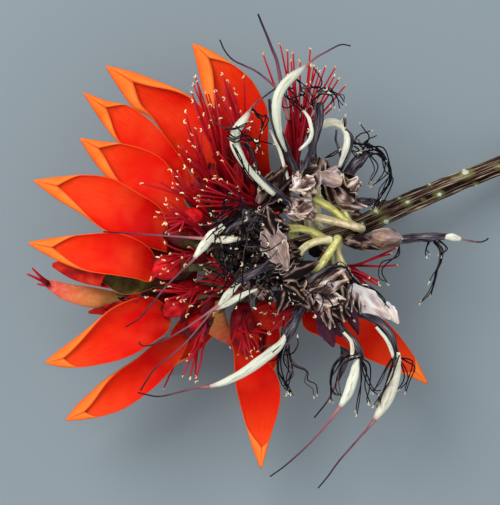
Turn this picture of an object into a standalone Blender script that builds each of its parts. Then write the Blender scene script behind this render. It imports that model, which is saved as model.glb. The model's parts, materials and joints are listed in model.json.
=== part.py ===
"""A cut flowering spike of a coral tree, lying down.

A woody stalk runs up into the axis of the spike. Open scarlet flowers stand round the
far part of the axis, and withered ones with young pods round the near part. Each flower
is one closed body: stalklet, calyx, petals and stamens, or calyx, tube, pod and style.

The tables are in millimetres and degrees, with +X roughly along the stalk to its cut
end and +Z up. Everything built from them is in metres, and is moved at the end so that
the origin lies under the middle of the spike.
"""

import math
import random
from collections import namedtuple

import bmesh
import bpy
from mathutils import Quaternion, Vector
from mathutils.bvhtree import BVHTree

MM = 0.001
UP = Vector((0, 0, 1))
SEAT_GAP = 0.3 * MM
SEED = 7

# The stalk and the axis of the spike, from the flat cut to the tip of the axis.
STALK_LINE = (
    (128, 45, 4),
    (107, 37, 14),
    (84, 28, 24),
    (63, 19, 34),
    (44, 10, 44),
    (31, 6, 48),
    (15, 2, 51),
    (0, -2, 54),
    (-14, -6, 57),
)
STALK_RADII = (3.9, 3.9, 4.0, 4.2, 4.5, 4.2, 3.6, 3.0, 1.8)
AXIS_START = 4  # the point of STALK_LINE where the first flowers stand
STALK_SIDES = 10
STALK_STEPS = 2  # rings for each stretch of STALK_LINE

# Parts that open and withered flowers share.
STALKLET_RADIUS = 1.5
STALKLET_LENGTH = 6
CALYX_RADIUS = 3.8
CALYX_SIDES = 6
THREAD_RADIUS = 0.55
TRIES = 12  # for each thread, to find a way clear of the other flowers

# One open flower.
BLADE_THICKNESS = 0.9
BLADE_STATIONS = 8
BLADE_SEGMENTS = 6
ROLLED_WIDTH = 10  # a standard narrower than this is still rolled up
ROLLED_FOLD = 2.4  # and folds this many times as far
MOST_FOLD = 150
CALYX_BACK = 9  # from the petal's root to the calyx's bend
CALYX_HOLD = 5  # from the petal's root to the calyx's mouth
KEEL_LENGTH = 15
KEEL_RADIUS = 4.6
KEEL_HEIGHT = 3  # of the keel and the stamens over the petal's root
STAMEN_LENGTH = 50
COLUMN_SHARE = 0.45  # of the stamens' length that is joined
COLUMN_RADIUS = 1.5
COLUMN_SIDES = 5
ANTHER_RADIUS = 1.0
STAMENS = 3

# The shape of a standard petal along its length, root to tip: its half-width seen from
# its hollow side, as a share of the greatest one, the angle in degrees that each side of
# the trough turns through, and the rise of its keel line in millimetres.
HALF_WIDTH = ((0.0, 0.30), (0.12, 0.78), (0.32, 1.0), (0.5, 0.93), (0.64, 0.74),
              (0.78, 0.45), (0.9, 0.22), (1.0, 0.06))
FOLD = ((0.0, 40), (0.3, 52), (0.5, 62), (0.64, 84), (0.76, 118), (0.88, 142), (1.0, 148))
LIFT = ((0.0, 0.0), (0.5, 0.0), (0.75, 1.5), (1.0, 5.0))

# One withered flower.
TUBE_RADIUS = 1.9
POD_RADIUS = 2.1
POD_SIDES = 6
STYLE_RADIUS = 0.5
STYLE_SIDES = 4
HAIRS = 2
HAIR_LENGTH = 24
FLAP_WIDTH = 0.62  # of its length
FLAP_ARCH = 1.5
FLAP_SAG = 1.6

Bloom = namedtuple("Bloom", "name station leave root tip width roll bow stamens style",
                   defaults=(None,))
# station: 0 where the first flowers stand, 1 at the tip of the axis.
# leave, stamens: heading and climb. roll: turn of the trough. bow: sideways bend.
# style: the points that it passes, the first of them inside the stamens' column.
BLOOMS = (
    Bloom("bloom_01", 0.60, (95, -10), (8, 29, 36), (-24, 90, 44), 18, 12, 3, (108, 32)),
    Bloom("bloom_02", 0.70, (125, -10), (-15, 27, 42), (-62, 80, 40), 17, 14, 2, (98, 38)),
    Bloom("bloom_03", 0.79, (125, 15), (-23, 22, 51), (-71, 69, 47), 18, 14, 1, (105, 50)),
    Bloom("bloom_04", 0.84, (120, 40), (-26, 13, 60), (-73, 49, 55), 18, 14, 1, (125, 52)),
    Bloom("bloom_05", 0.92, (150, 80), (-32, 7, 67), (-92, 31, 62), 21, 14, 2, (125, 60)),
    Bloom("bloom_06", 0.98, (235, 70), (-36, -5, 72), (-95, 4, 67), 20, 10, 0, (180, 65)),
    Bloom("bloom_07", 0.99, (180, 10), (-42, -13, 52), (-84, -5, 55), 9, 0, 0, None),
    Bloom("bloom_08", 0.94, (225, -60), (-42, -19, 42), (-92, -13, 44), 8, 0, -1, None),
    Bloom("bloom_09", 0.88, (240, 40), (-33, -24, 58), (-88, -47, 58), 20, -12, 0, (215, 60)),
    Bloom("bloom_10", 0.78, (245, 5), (-24, -33, 47), (-79, -72, 48), 16, -12, 2, (255, 28)),
    Bloom("bloom_11", 0.66, (265, 0), (-4, -34, 42), (5, -93, 46), 19, -8, 0, (262, 45)),
    Bloom("bloom_12", 0.45, (285, -10), (23, -22, 36), (77, -56, 32), 17, 8, 2, (310, 30)),
    Bloom("bloom_13", 0.84, (225, -30), (-29, -18, 31), (-70, -26, 18), 14, 0, 0, None),
    Bloom("bloom_14", 0.74, (110, -45), (-12, 24, 31), (-27, 66, 20), 15, 0, 0, (95, 0)),
    Bloom("bloom_15", 0.74, (245, -65), (-14, -22, 26), (-42, -54, -4), 15, 0, 0, (250, -10)),
    Bloom("bloom_16", 0.86, (150, -60), (-22, 8, 30), (-66, 25, -4), 15, 0, 0, (150, -5)),
    Bloom("bloom_17", 0.55, (265, -70), (6, -24, 26), (4, -66, -4), 15, 0, 0, (290, 0)),
    Bloom("bloom_18", 0.58, (95, -65), (5, 22, 24), (-10, 66, -4), 15, 0, 0, (75, -8)),
    Bloom("bloom_19", 0.36, (85, 0), (16, 34, 44), None, 0, 0, 0, (84, 16),
          ((17, 50, 50), (16, 60, 57), (14, 70, 60), (12, 81, 61), (9, 87, 61), (5, 98, 60), (3, 102, 60))),
    Bloom("bloom_20", 0.26, (290, -35), (36, -9, 34), None, 0, 0, 0, (14, 14)),
)

Withered = namedtuple("Withered", "name station leave calyx tube pod style hairs flaps")
# calyx: its foot. tube: its root and the points it passes. pod and style: the points
# that they pass, the first of them inside the tube. hairs: heading and climb of the
# dried stamens, or None. flaps: heading, climb and length of the calyx's torn sides.
WITHERED = (
    Withered("withered_01", 0.10, (105, 50), (27, 24, 60),
             ((20, 35, 64), (15, 48, 68), (10, 60, 68)),
             ((11, 58, 68), (11, 65, 67), (14, 72, 65), (23, 79, 62)),
             ((32, 86, 62), (39, 89, 62), (43, 88, 62)), None, ((60, 20, 13),)),
    Withered("withered_02", 0.03, (95, 65), (36, 24, 66),
             ((27, 37, 72), (29, 52, 76), (30, 64, 76)),
             ((28, 40, 73), (25, 53, 80), (23, 61, 80)),
             ((20, 66, 80), (15, 70, 78)), (60, 20), ((20, 30, 14), (110, 30, 12))),
    Withered("withered_03", 0.00, (72, 5), (42, 26, 50),
             ((40, 34, 55), (39, 40, 58)),
             ((39, 38, 58), (40, 50, 61), (36, 55, 63), (30, 55, 64)),
             ((26, 57, 64), (25, 58, 64)), (50, 10), ((30, 10, 14), (-30, 20, 13))),
    Withered("withered_04", 0.20, (85, 60), (20, 17, 63),
             ((16, 22, 70), (12, 26, 74)),
             ((14, 24, 73), (5, 29, 78), (-3, 37, 80), (-7, 46, 80), (0, 59, 79)),
             ((3, 63, 79), (11, 70, 78)), (140, 10), ((120, 40, 12),)),
    Withered("withered_05", 0.42, (100, 75), (9, 11, 74),
             ((3, 10, 81), (-4, 7, 84)),
             ((-3, 7, 84), (-12, 5, 85), (-19, 6, 85)),
             ((-30, 6, 84), (-46, 8, 84), (-62, 9, 83)), (190, 15), ((80, 40, 12),)),
    Withered("withered_06", 0.52, (150, 80), (-3, 4, 70),
             ((-8, 9, 74), (-13, 10, 76)),
             ((-12, 10, 77), (-19, 5, 79), (-23, -3, 82)),
             ((-32, -13, 84), (-42, -22, 83), (-53, -32, 80)), None, ((100, 45, 11),)),
    Withered("withered_07", 0.34, (230, 80), (17, 2, 71),
             ((11, -4, 74), (-6, -13, 76)),
             ((-4, -13, 76), (-9, -18, 76), (-13, -22, 75)),
             ((-28, -32, 74), (-38, -37, 73), (-46, -40, 72)), (215, 10), ((275, 30, 17),)),
    Withered("withered_08", 0.28, (265, 60), (17, -10, 62),
             ((8, -14, 66), (0, -17, 68)),
             ((2, -16, 68), (-8, -20, 68), (-17, -25, 67)),
             ((-27, -38, 66), (-37, -48, 65), (-47, -59, 64)), None, ((0, 30, 15),)),
    Withered("withered_09", 0.16, (265, 35), (26, -10, 56),
             ((22, -22, 60), (17, -33, 62), (14, -38, 62)),
             ((15, -36, 62), (0, -47, 61), (-16, -57, 59)),
             ((-24, -59, 58), (-37, -62, 57), (-48, -60, 57)), (270, -30), ((240, 30, 12),)),
    Withered("withered_10", 0.08, (278, 35), (36, -20, 56),
             ((37, -31, 60), (43, -41, 61), (46, -46, 61)),
             ((45, -44, 61), (43, -55, 60), (39, -66, 59)),
             ((32, -75, 58), (21, -85, 56), (9, -96, 55)), (270, -25), ((250, 40, 12), (320, 50, 12))),
    Withered("withered_11", 0.03, (295, 15), (44, -13, 48),
             ((46, -26, 52), (56, -31, 54), (63, -42, 54), (61, -50, 54)),
             ((62, -47, 54), (58, -62, 53), (54, -71, 52)),
             ((48, -79, 51), (35, -95, 50), (29, -101, 50)), (280, -25), ((325, 35, 24),)),
    Withered("withered_12", 0.00, (330, 30), (52, 4, 48),
             ((64, 6, 50), (72, 6, 51), (81, 7, 52)),
             ((79, 7, 52), (85, 7, 52), (90, 6, 52)),
             ((96, 5, 52), (100, 5, 52), (103, 6, 52)), (280, -30), ((20, 45, 12),)),
    Withered("withered_13", 0.10, (60, -70), (38, 18, 24),
             ((44, 22, 18), (52, 22, 14)),
             ((51, 22, 14), (58, 21, 12), (66, 20, 10)),
             ((74, 22, 8), (80, 24, 7)), None, ((90, -10, 12),)),
    Withered("withered_14", 0.20, (100, -50), (30, 26, 30),
             ((28, 38, 24), (27, 45, 21)),
             ((27, 44, 21), (26, 54, 18), (22, 62, 16)),
             ((18, 68, 14), (12, 74, 12)), None, ((40, 0, 12),)),
    Withered("withered_15", 0.14, (285, -70), (36, -16, 20),
             ((38, -26, 18), (40, -36, 15)),
             ((40, -34, 15), (41, -46, 13), (38, -56, 11)),
             ((34, -64, 10), (28, -72, 9)), None, ((240, -10, 12),)),
)

def place(point):
    """A table's point, in metres."""
    return Vector(point) * MM


def direction(heading, climb):
    """The unit vector of a heading in plan and a climb, in degrees."""
    turn = math.radians(heading)
    rise = math.radians(climb)
    return Vector((math.cos(rise) * math.cos(turn), math.cos(rise) * math.sin(turn), math.sin(rise)))


def between(keys, at):
    """The value at a place along a table of (place, value) rows."""
    for (low, first), (high, last) in zip(keys, keys[1:]):
        if at <= high:
            share = (at - low) / (high - low)
            return first + (last - first) * share
    return keys[-1][1]


def on_curve(a, b, c, d, t):
    """The point a share t of the way from b to c on the Catmull-Rom curve by a and d."""
    first = (c - a) * t
    second = (a * 2 - b * 5 + c * 4 - d) * t * t
    third = (b * 3 - a - c * 3 + d) * t * t * t
    return (b * 2 + first + second + third) / 2


def smooth_line(points, steps):
    """A smooth curve through the points, with this many steps from each to the next."""
    ends = [points[0] * 2 - points[1], *points, points[-1] * 2 - points[-2]]
    line = []
    for a, b, c, d in zip(ends, ends[1:], ends[2:], ends[3:]):
        line.extend(on_curve(a, b, c, d, step / steps) for step in range(steps))
    line.append(points[-1].copy())
    return line


def frames_along(line):
    """At each point of a line its tangent and two cross directions that don't twist."""
    tangents = []
    for index in range(len(line)):
        ahead = line[min(index + 1, len(line) - 1)]
        behind = line[max(index - 1, 0)]
        tangents.append((ahead - behind).normalized())
    side = tangents[0].orthogonal().normalized()
    frames = []
    for tangent in tangents:
        side = (side - tangent * side.dot(tangent)).normalized()
        frames.append((tangent, side, tangent.cross(side)))
    return frames


def mesh_object(name, mesh, collection):
    """Links a mesh to a collection as an object."""
    body = bpy.data.objects.new(name, mesh)
    collection.objects.link(body)
    return body


def closed_rings(name, rings, collection):
    """Joins rings of points into one closed skin with flat ends."""
    bm = bmesh.new()
    loops = [[bm.verts.new(point) for point in ring] for ring in rings]
    sides = len(loops[0])
    for first, last in zip(loops, loops[1:]):
        for k in range(sides):
            bm.faces.new((first[k], first[(k + 1) % sides], last[(k + 1) % sides], last[k]))
    bm.faces.new(reversed(loops[0]))
    bm.faces.new(loops[-1])
    bmesh.ops.recalc_face_normals(bm, faces=bm.faces)
    mesh = bpy.data.meshes.new(name)
    bm.to_mesh(mesh)
    bm.free()
    return mesh_object(name, mesh, collection)


def tube(name, line, radii, sides, collection):
    """A round bar along a line, with a radius for each of its points."""
    rings = []
    for point, radius, (_, side, across) in zip(line, radii, frames_along(line)):
        ring = []
        for k in range(sides):
            turn = 2 * math.pi * k / sides
            ring.append(point + (side * math.cos(turn) + across * math.sin(turn)) * radius)
        rings.append(ring)
    return closed_rings(name, rings, collection)


def radii_along(keys, count):
    """Radii in metres at evenly spaced places, from a table in millimetres."""
    return [between(keys, index / (count - 1)) * MM for index in range(count)]


def axis_at(station):
    """The point, direction and radius of the spike's axis at a station from 0 to 1."""
    line = [place(point) for point in STALK_LINE]
    whole = smooth_line(line, STALK_STEPS)[AXIS_START * STALK_STEPS:]
    at = min(station, 0.999) * (len(whole) - 1)
    index = int(at)
    share = at - index
    point = whole[index].lerp(whole[index + 1], share)
    along = (whole[index + 1] - whole[index]).normalized()
    span = len(STALK_RADII) - 1 - AXIS_START
    keys = [(k / span, STALK_RADII[AXIS_START + k]) for k in range(span + 1)]
    return point, along, between(keys, station) * MM


def foot_of(station, leave):
    """Where a flower's stalklet starts, just clear of the axis, and which way it goes."""
    centre, along, radius = axis_at(station)
    way = direction(*leave)
    way = (way - along * way.dot(along)).normalized()
    return centre + way * (radius + SEAT_GAP), way


def stalk(collection):
    """The cut stalk with the axis of the spike."""
    line = smooth_line([place(point) for point in STALK_LINE], STALK_STEPS)
    keys = [(k / (len(STALK_RADII) - 1), radius) for k, radius in enumerate(STALK_RADII)]
    return tube("stalk", line, radii_along(keys, len(line)), STALK_SIDES, collection)


def roll_about(axis, degrees):
    """The turn by an angle about an axis."""
    return Quaternion(axis.normalized(), math.radians(degrees))


def facing(bloom):
    """Which way a flower faces: along its standard or, once that has dropped, its stamens."""
    if bloom.tip:
        return (place(bloom.tip) - place(bloom.root)).normalized()
    return direction(*bloom.stamens)


def fold_at(bloom, at):
    """The angle that each side of the trough turns through at a place along the petal."""
    gain = ROLLED_FOLD if bloom.width < ROLLED_WIDTH else 1
    return math.radians(min(between(FOLD, at) * gain, MOST_FOLD))


def trough_ring(bloom, point, tangent, hollow, at):
    """One section of a standard petal: along its outer skin and back along its inner one."""
    up = (hollow - tangent * hollow.dot(tangent)).normalized()
    across = tangent.cross(up)
    fold = fold_at(bloom, at)
    half = bloom.width / 2 * between(HALF_WIDTH, at)
    radius = half / math.sin(fold) if fold < math.pi / 2 else half
    middle = point + up * (between(LIFT, at) + radius) * MM
    inner_radius = radius - min(BLADE_THICKNESS, radius * 0.999)
    spokes = []
    for k in range(BLADE_SEGMENTS + 1):
        turn = fold * (2 * k / BLADE_SEGMENTS - 1)
        spokes.append(across * math.sin(turn) - up * math.cos(turn))
    outer = [middle + spoke * radius * MM for spoke in spokes]
    inner = [middle + spoke * inner_radius * MM for spoke in reversed(spokes)]
    return outer + inner


def blade(bloom, collection):
    """The standard petal, a boat-shaped blade whose sides close over its tip."""
    root = place(bloom.root)
    tip = place(bloom.tip)
    chord = tip - root
    side = chord.cross(UP).normalized()
    middle = (root + tip) / 2 + side * bloom.bow * MM
    hollow = UP.copy()
    hollow.rotate(roll_about(chord, bloom.roll))
    line = smooth_line([root, middle, tip], BLADE_STATIONS // 2)
    rings = []
    for index, (point, (tangent, _, _)) in enumerate(zip(line, frames_along(line))):
        rings.append(trough_ring(bloom, point, tangent, hollow, index / (len(line) - 1)))
    return closed_rings("blade", rings, collection)


def cup(bloom, collection):
    """The stalklet and the spindle-shaped calyx, from the axis to the petal's root."""
    foot, way = foot_of(bloom.station, bloom.leave)
    root = place(bloom.root)
    into = facing(bloom)
    back = root - into * CALYX_BACK * MM
    mouth = root + into * CALYX_HOLD * MM
    bend = foot + way * STALKLET_LENGTH * MM
    line = smooth_line([foot + way * 2 * MM, bend, back, mouth], 2)
    line.insert(0, foot)
    keys = ((0, STALKLET_RADIUS), (0.34, STALKLET_RADIUS), (0.5, CALYX_RADIUS * 0.8),
            (0.75, CALYX_RADIUS), (1, CALYX_RADIUS * 0.62))
    return tube("cup", line, radii_along(keys, len(line)), CALYX_SIDES, collection)


def keel(bloom, collection):
    """The rounded keel that lies in the root of the trough."""
    into = facing(bloom)
    start = place(bloom.root) + UP * KEEL_HEIGHT * MM - into * 2 * MM
    line = [start + into * KEEL_LENGTH * MM * k / 4 for k in range(5)]
    keys = ((0, 0.3), (0.25, 0.8), (0.6, 1.0), (0.85, 0.75), (1, 0.3))
    radii = [radius * KEEL_RADIUS for radius in radii_along(keys, len(line))]
    return tube("keel", line, radii, CALYX_SIDES, collection)


def column_line(bloom):
    """The curve of the joined lower part of the stamens."""
    into = facing(bloom)
    way = direction(*bloom.stamens)
    start = place(bloom.root) + into * 2 * MM + UP * KEEL_HEIGHT * MM
    half = STAMEN_LENGTH * COLUMN_SHARE / 2 * MM
    bend = start + (into + way).normalized() * half
    return smooth_line([start, bend, bend + way * half], 2)


def column(bloom, collection):
    """The joined lower part of the stamens."""
    line = column_line(bloom)
    keys = ((0, COLUMN_RADIUS), (1, COLUMN_RADIUS * 0.75))
    return tube("column", line, radii_along(keys, len(line)), COLUMN_SIDES, collection)


def stamen_line(bloom, share):
    """The curve of one free stamen, this share of the way round the column's end."""
    trunk = column_line(bloom)
    way = direction(*bloom.stamens)
    side = way.orthogonal().normalized()
    over = way.cross(side)
    turn = 2 * math.pi * (share + random.uniform(-0.1, 0.1))
    spread = (side * math.cos(turn) + over * math.sin(turn)) * random.uniform(0.12, 0.4)
    half = STAMEN_LENGTH * random.uniform(0.21, 0.31) * MM
    start = trunk[-1] - way * 3 * MM
    bend = start + (way + spread * 0.5).normalized() * half
    return [start, bend, bend + (way + spread).normalized() * half]


def lone_style(bloom, collection):
    """The style of a flower whose petals have dropped, which outgrows its stamens."""
    line = smooth_line([place(point) for point in bloom.style], 2)
    tube("style", line, [STYLE_RADIUS * MM] * len(line), STYLE_SIDES, collection)


def hair_line(flower):
    """The curve of one dried stamen of a withered flower."""
    start = place(flower.tube[-1])
    lean = (start - place(flower.tube[-2])).normalized()
    heading, climb = flower.hairs
    way = direction(heading + random.uniform(-35, 35), climb + random.uniform(-20, 20))
    half = HAIR_LENGTH * random.uniform(0.35, 0.55) * MM
    bend = start + (lean + way).normalized() * half
    return [start - lean * 2 * MM, bend, bend + way * half]


def is_clear(line, margin, others):
    """Whether a line keeps this far from every other flower."""
    for first, last in zip(line, line[1:]):
        for share in (0, 0.25, 0.5, 0.75, 1):
            point = first.lerp(last, share)
            for tree in others:
                near, normal, _, gap = tree.find_nearest(point)
                if gap < margin or (point - near).dot(normal) < 0:
                    return False
    return True


def flap(root, heading, climb, length, collection):
    """A thin pointed side of a torn calyx, bent over along its middle."""
    way = direction(heading, climb)
    across = way.cross(UP).normalized()
    over = across.cross(way)
    rings = []
    for at, half in ((0, 0.55), (0.35, 1.0), (0.7, 0.7), (1, 0.08)):
        arch = over * FLAP_ARCH * math.sin(math.pi * at) * MM
        spine = root + way * at * length * MM + arch
        wing = across * half * FLAP_WIDTH * length / 2 * MM
        sag = over * half * FLAP_SAG * MM
        skin = over * BLADE_THICKNESS * MM
        rings.append([spine - wing - sag, spine, spine + wing - sag,
                      spine + wing - sag - skin, spine - skin, spine - wing - sag - skin])
    return closed_rings("flap", rings, collection)


def dried_calyx(flower, collection):
    """Stalklet, shrunken calyx with its torn sides, and dark tube of a withered flower."""
    foot, way = foot_of(flower.station, flower.leave)
    bend = foot + way * STALKLET_LENGTH * MM
    points = [foot + way * 2 * MM, bend, place(flower.calyx), *map(place, flower.tube)]
    line = smooth_line(points, 2)
    line.insert(0, foot)
    last = len(line) - 1
    keys = ((0, STALKLET_RADIUS), (3.6 / last, STALKLET_RADIUS), (5.5 / last, CALYX_RADIUS),
            (7 / last, CALYX_RADIUS * 0.8), (min(7 / last + 0.12, 0.95), TUBE_RADIUS),
            (1, TUBE_RADIUS * 0.8))
    tube("calyx", line, radii_along(keys, len(line)), CALYX_SIDES, collection)
    for heading, climb, length in flower.flaps:
        flap(line[5], heading, climb, length, collection)


def pod(flower, collection):
    """The young pod that stands out of the tube, and the style on its end."""
    body = smooth_line([place(point) for point in flower.pod], 2)
    taper = ((0, POD_RADIUS * 0.6), (0.3, POD_RADIUS), (0.75, POD_RADIUS), (1, STYLE_RADIUS * 1.6))
    tube("pod", body, radii_along(taper, len(body)), POD_SIDES, collection)
    style = smooth_line([body[-1], *map(place, flower.style)], 2)
    style[0] = style[0] - (style[1] - style[0]).normalized() * MM
    thin = ((0, STYLE_RADIUS), (1, STYLE_RADIUS * 0.8))
    tube("style", style, radii_along(thin, len(style)), STYLE_SIDES, collection)


def thread(line, bead, collection):
    """A free stamen with the anther on its end."""
    tube("thread", line, [THREAD_RADIUS * MM] * len(line), 3, collection)
    way = (line[-1] - line[-2]).normalized()
    anther = [line[-1] + way * offset * bead * MM for offset in (-0.9, 0, 1.2)]
    radii = [share * bead * MM for share in (0.4, 1, 0.4)]
    tube("anther", anther, radii, 3, collection)


def add_threads(bead, count, line_of, others, collection):
    """Free stamens, each on the first way found that is clear of the other flowers."""
    for k in range(count):
        for _ in range(TRIES):
            line = line_of(k)
            if is_clear(line, bead * MM + SEAT_GAP, others):
                thread(line, bead, collection)
                break


def add_stamens(flower, others, collection):
    """The free stamens of an open flower, or the dried ones of a withered flower."""
    if isinstance(flower, Bloom):
        if flower.stamens:
            add_threads(ANTHER_RADIUS, STAMENS, lambda k: stamen_line(flower, k / STAMENS),
                        others, collection)
    elif flower.hairs:
        add_threads(ANTHER_RADIUS * 0.8, HAIRS, lambda k: hair_line(flower), others, collection)


def joined(name, collection):
    """One body made of all the objects in a collection, which are then removed."""
    parts = list(collection.objects)
    body = parts[0].copy()
    body.data = parts[0].data.copy()
    body.name = name
    bpy.context.scene.collection.objects.link(body)
    bpy.data.objects.remove(parts[0])
    join = body.modifiers.new("join", "BOOLEAN")
    join.operation = "UNION"
    join.operand_type = "COLLECTION"
    join.collection = collection
    join.solver = "MANIFOLD"
    graph = bpy.context.evaluated_depsgraph_get()
    mesh = bpy.data.meshes.new_from_object(body.evaluated_get(graph))
    body.modifiers.clear()
    body.data = mesh
    for part in list(collection.objects):
        bpy.data.objects.remove(part)
    bpy.data.collections.remove(collection)
    return body


def gathered(name):
    """A fresh collection for the parts of one flower."""
    collection = bpy.data.collections.new(name)
    bpy.context.scene.collection.children.link(collection)
    return collection


def tree_of(objects):
    """A search tree over the faces of some objects."""
    points = []
    faces = []
    for body in objects:
        start = len(points)
        points.extend(vertex.co for vertex in body.data.vertices)
        faces.extend([start + k for k in face.vertices] for face in body.data.polygons)
    return BVHTree.FromPolygons(points, faces)


def material(name, colour, roughness):
    """A Principled BSDF material."""
    finish = bpy.data.materials.new(name)
    finish.use_nodes = True
    shader = finish.node_tree.nodes["Principled BSDF"]
    shader.inputs["Base Color"].default_value = (*colour, 1)
    shader.inputs["Roughness"].default_value = roughness
    finish.diffuse_color = (*colour, 1)
    return finish


def stand_on_origin(bodies):
    """Moves every body so that the origin is under the middle of the whole, on its floor."""
    points = [vertex.co for body in bodies for vertex in body.data.vertices]
    low = Vector([min(point[k] for point in points) for k in range(3)])
    high = Vector([max(point[k] for point in points) for k in range(3)])
    shift = Vector(((low.x + high.x) / 2, (low.y + high.y) / 2, low.z))
    for body in bodies:
        for vertex in body.data.vertices:
            vertex.co -= shift


def open_flower(bloom, collection):
    """The parts of an open flower, before its free stamens."""
    cup(bloom, collection)
    if bloom.tip:
        blade(bloom, collection)
    if bloom.width > ROLLED_WIDTH:
        keel(bloom, collection)
    if bloom.stamens:
        column(bloom, collection)
    if bloom.style:
        lone_style(bloom, collection)


def main():
    random.seed(SEED)
    for item in list(bpy.data.objects):
        bpy.data.objects.remove(item)
    scarlet = material("scarlet_petal", (0.85, 0.06, 0.01), 0.45)
    dried = material("dried_flower", (0.24, 0.19, 0.17), 0.85)
    bark = material("stalk_bark", (0.16, 0.11, 0.07), 0.8)

    stem = stalk(bpy.context.scene.collection)
    stem.data.materials.append(bark)
    groups = {flower.name: gathered(flower.name) for flower in (*BLOOMS, *WITHERED)}
    for bloom in BLOOMS:
        open_flower(bloom, groups[bloom.name])
    for flower in WITHERED:
        dried_calyx(flower, groups[flower.name])
        pod(flower, groups[flower.name])

    trees = {name: tree_of(group.objects) for name, group in groups.items()}
    trees["stalk"] = tree_of([stem])
    bodies = [stem]
    for flower in (*BLOOMS, *WITHERED):
        group = groups[flower.name]
        others = [tree for name, tree in trees.items() if name != flower.name]
        add_stamens(flower, others, group)
        trees[flower.name] = tree_of(group.objects)
        body = joined(flower.name, group)
        body.data.materials.clear()
        body.data.materials.append(scarlet if isinstance(flower, Bloom) else dried)
        bodies.append(body)
    stand_on_origin(bodies)


main()
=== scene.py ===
# %% [markdown]
# # A cut flowering spike of a coral tree
#
# The spike lies on a table: a woody stalk, a crown of scarlet flowers round its far
# end, and withered flowers with young pods round its near end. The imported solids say
# where everything is and how large it is. Each cell below makes one kind of piece over
# them, from the parts up: stalk, petals, stamens, pods, dried flowers.

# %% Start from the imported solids
import json
import math
import random

import bmesh
import bpy
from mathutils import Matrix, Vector, noise
from mathutils.kdtree import KDTree


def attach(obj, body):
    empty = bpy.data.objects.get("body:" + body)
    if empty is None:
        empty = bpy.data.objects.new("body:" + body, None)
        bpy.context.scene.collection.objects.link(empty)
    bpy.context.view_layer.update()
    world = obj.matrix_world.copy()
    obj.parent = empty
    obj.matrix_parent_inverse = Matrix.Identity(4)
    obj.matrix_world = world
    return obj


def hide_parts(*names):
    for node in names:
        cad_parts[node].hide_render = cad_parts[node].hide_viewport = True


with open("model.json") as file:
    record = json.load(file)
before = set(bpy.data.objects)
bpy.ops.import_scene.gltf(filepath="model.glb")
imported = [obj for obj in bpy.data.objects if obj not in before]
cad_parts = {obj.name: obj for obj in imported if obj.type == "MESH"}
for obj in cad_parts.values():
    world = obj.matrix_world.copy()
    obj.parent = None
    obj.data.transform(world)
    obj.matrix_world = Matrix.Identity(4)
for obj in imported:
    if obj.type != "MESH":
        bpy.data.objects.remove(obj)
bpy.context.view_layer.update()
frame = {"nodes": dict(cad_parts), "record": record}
MM = 0.001
UP = Vector((0, 0, 1))
NOISE_SEED = 4
noise.seed_set(NOISE_SEED)  # the vector noise takes its seed from the clock unless one is set
BLOOMS = sorted(name for name in frame["nodes"] if name.startswith("bloom"))
WITHERED = sorted(name for name in frame["nodes"] if name.startswith("withered"))
print(f"{len(BLOOMS)} open flowers and {len(WITHERED)} withered ones on one stalk")

# %% [markdown]
# ## A plan to draw on
#
# A spike has hundreds of curved parts, so it needs a drawing before any modelling. The
# drawing here is a plan seen from above, ruled in squares of 0.43 mm, with the height
# over the table written at each point. The stalk's cut end is on both the plan and the
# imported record, so it ties the two together.

# %% The plan
SQUARE = 0.43
PLAN_MIDDLE = (250, 252.5)
CUT_END_ON_PLAN = Vector((128, 45, 4)) * MM
cut_end = next(m for m in frame["record"]["mounts"] if m["name"] == "cut_end")
PLAN_SHIFT = Vector(cut_end["pos_m"]) - CUT_END_ON_PLAN


def measured(x, y, z):
    """A point given in millimetres from the middle of the plan."""
    return Vector((x, y, z)) * MM + PLAN_SHIFT


def plan(across, down, height):
    """A point given by the plan's squares and its height in millimetres."""
    x = (across - PLAN_MIDDLE[0]) * (SQUARE * MM)
    y = (PLAN_MIDDLE[1] - down) * (SQUARE * MM)
    return Vector((x, y, height * MM)) + PLAN_SHIFT


print("the plan's middle is at", [round(c / MM, 1) for c in plan(*PLAN_MIDDLE, 0)], "mm")

# %% [markdown]
# ## Table, light and camera
#
# The spike is looked down on. A very long lens from far above keeps the plan true, so
# that a high petal isn't drawn larger than a low one. The light is what a cloudy
# window gives: one broad soft lamp from the upper left and a pale sky all round.

# %% Table, light and camera
LENS = 500
SENSOR = 36
FRAME_WIDTH = 217 * MM
CAMERA_HEIGHT = FRAME_WIDTH * LENS / SENSOR
VIEW_HEIGHT = 50
view_centre = plan(*PLAN_MIDDLE, VIEW_HEIGHT)

camera = bpy.data.objects.new("camera", bpy.data.cameras.new("camera"))
camera.data.lens = LENS
camera.data.sensor_width = SENSOR
camera.data.clip_end = 20
camera.location = view_centre + UP * CAMERA_HEIGHT
bpy.context.scene.collection.objects.link(camera)
bpy.context.scene.camera = camera
bpy.context.scene.view_settings.view_transform = "Standard"


def soft_lamp(name, place, size, power):
    """A broad square lamp that faces the spike."""
    lamp = bpy.data.objects.new(name, bpy.data.lights.new(name, "AREA"))
    lamp.data.size = size
    lamp.data.energy = power
    lamp.location = place
    lamp.rotation_mode = "QUATERNION"
    lamp.rotation_quaternion = (Vector((0, 0, 0.05)) - lamp.location).to_track_quat("-Z", "Y")
    bpy.context.scene.collection.objects.link(lamp)


soft_lamp("window_lamp", Vector((-0.55, 0.6, 1.1)), 0.8, 14)
soft_lamp("far_lamp", Vector((0.8, -0.5, 0.7)), 0.9, 2.0)
sky = bpy.data.worlds.new("sky")
sky.use_nodes = True
sky.node_tree.nodes["Background"].inputs["Color"].default_value = (0.86, 0.93, 1.0, 1)
sky.node_tree.nodes["Background"].inputs["Strength"].default_value = 0.72
bpy.context.scene.world = sky
print(f"the camera is {CAMERA_HEIGHT:.2f} m above the spike")

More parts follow.
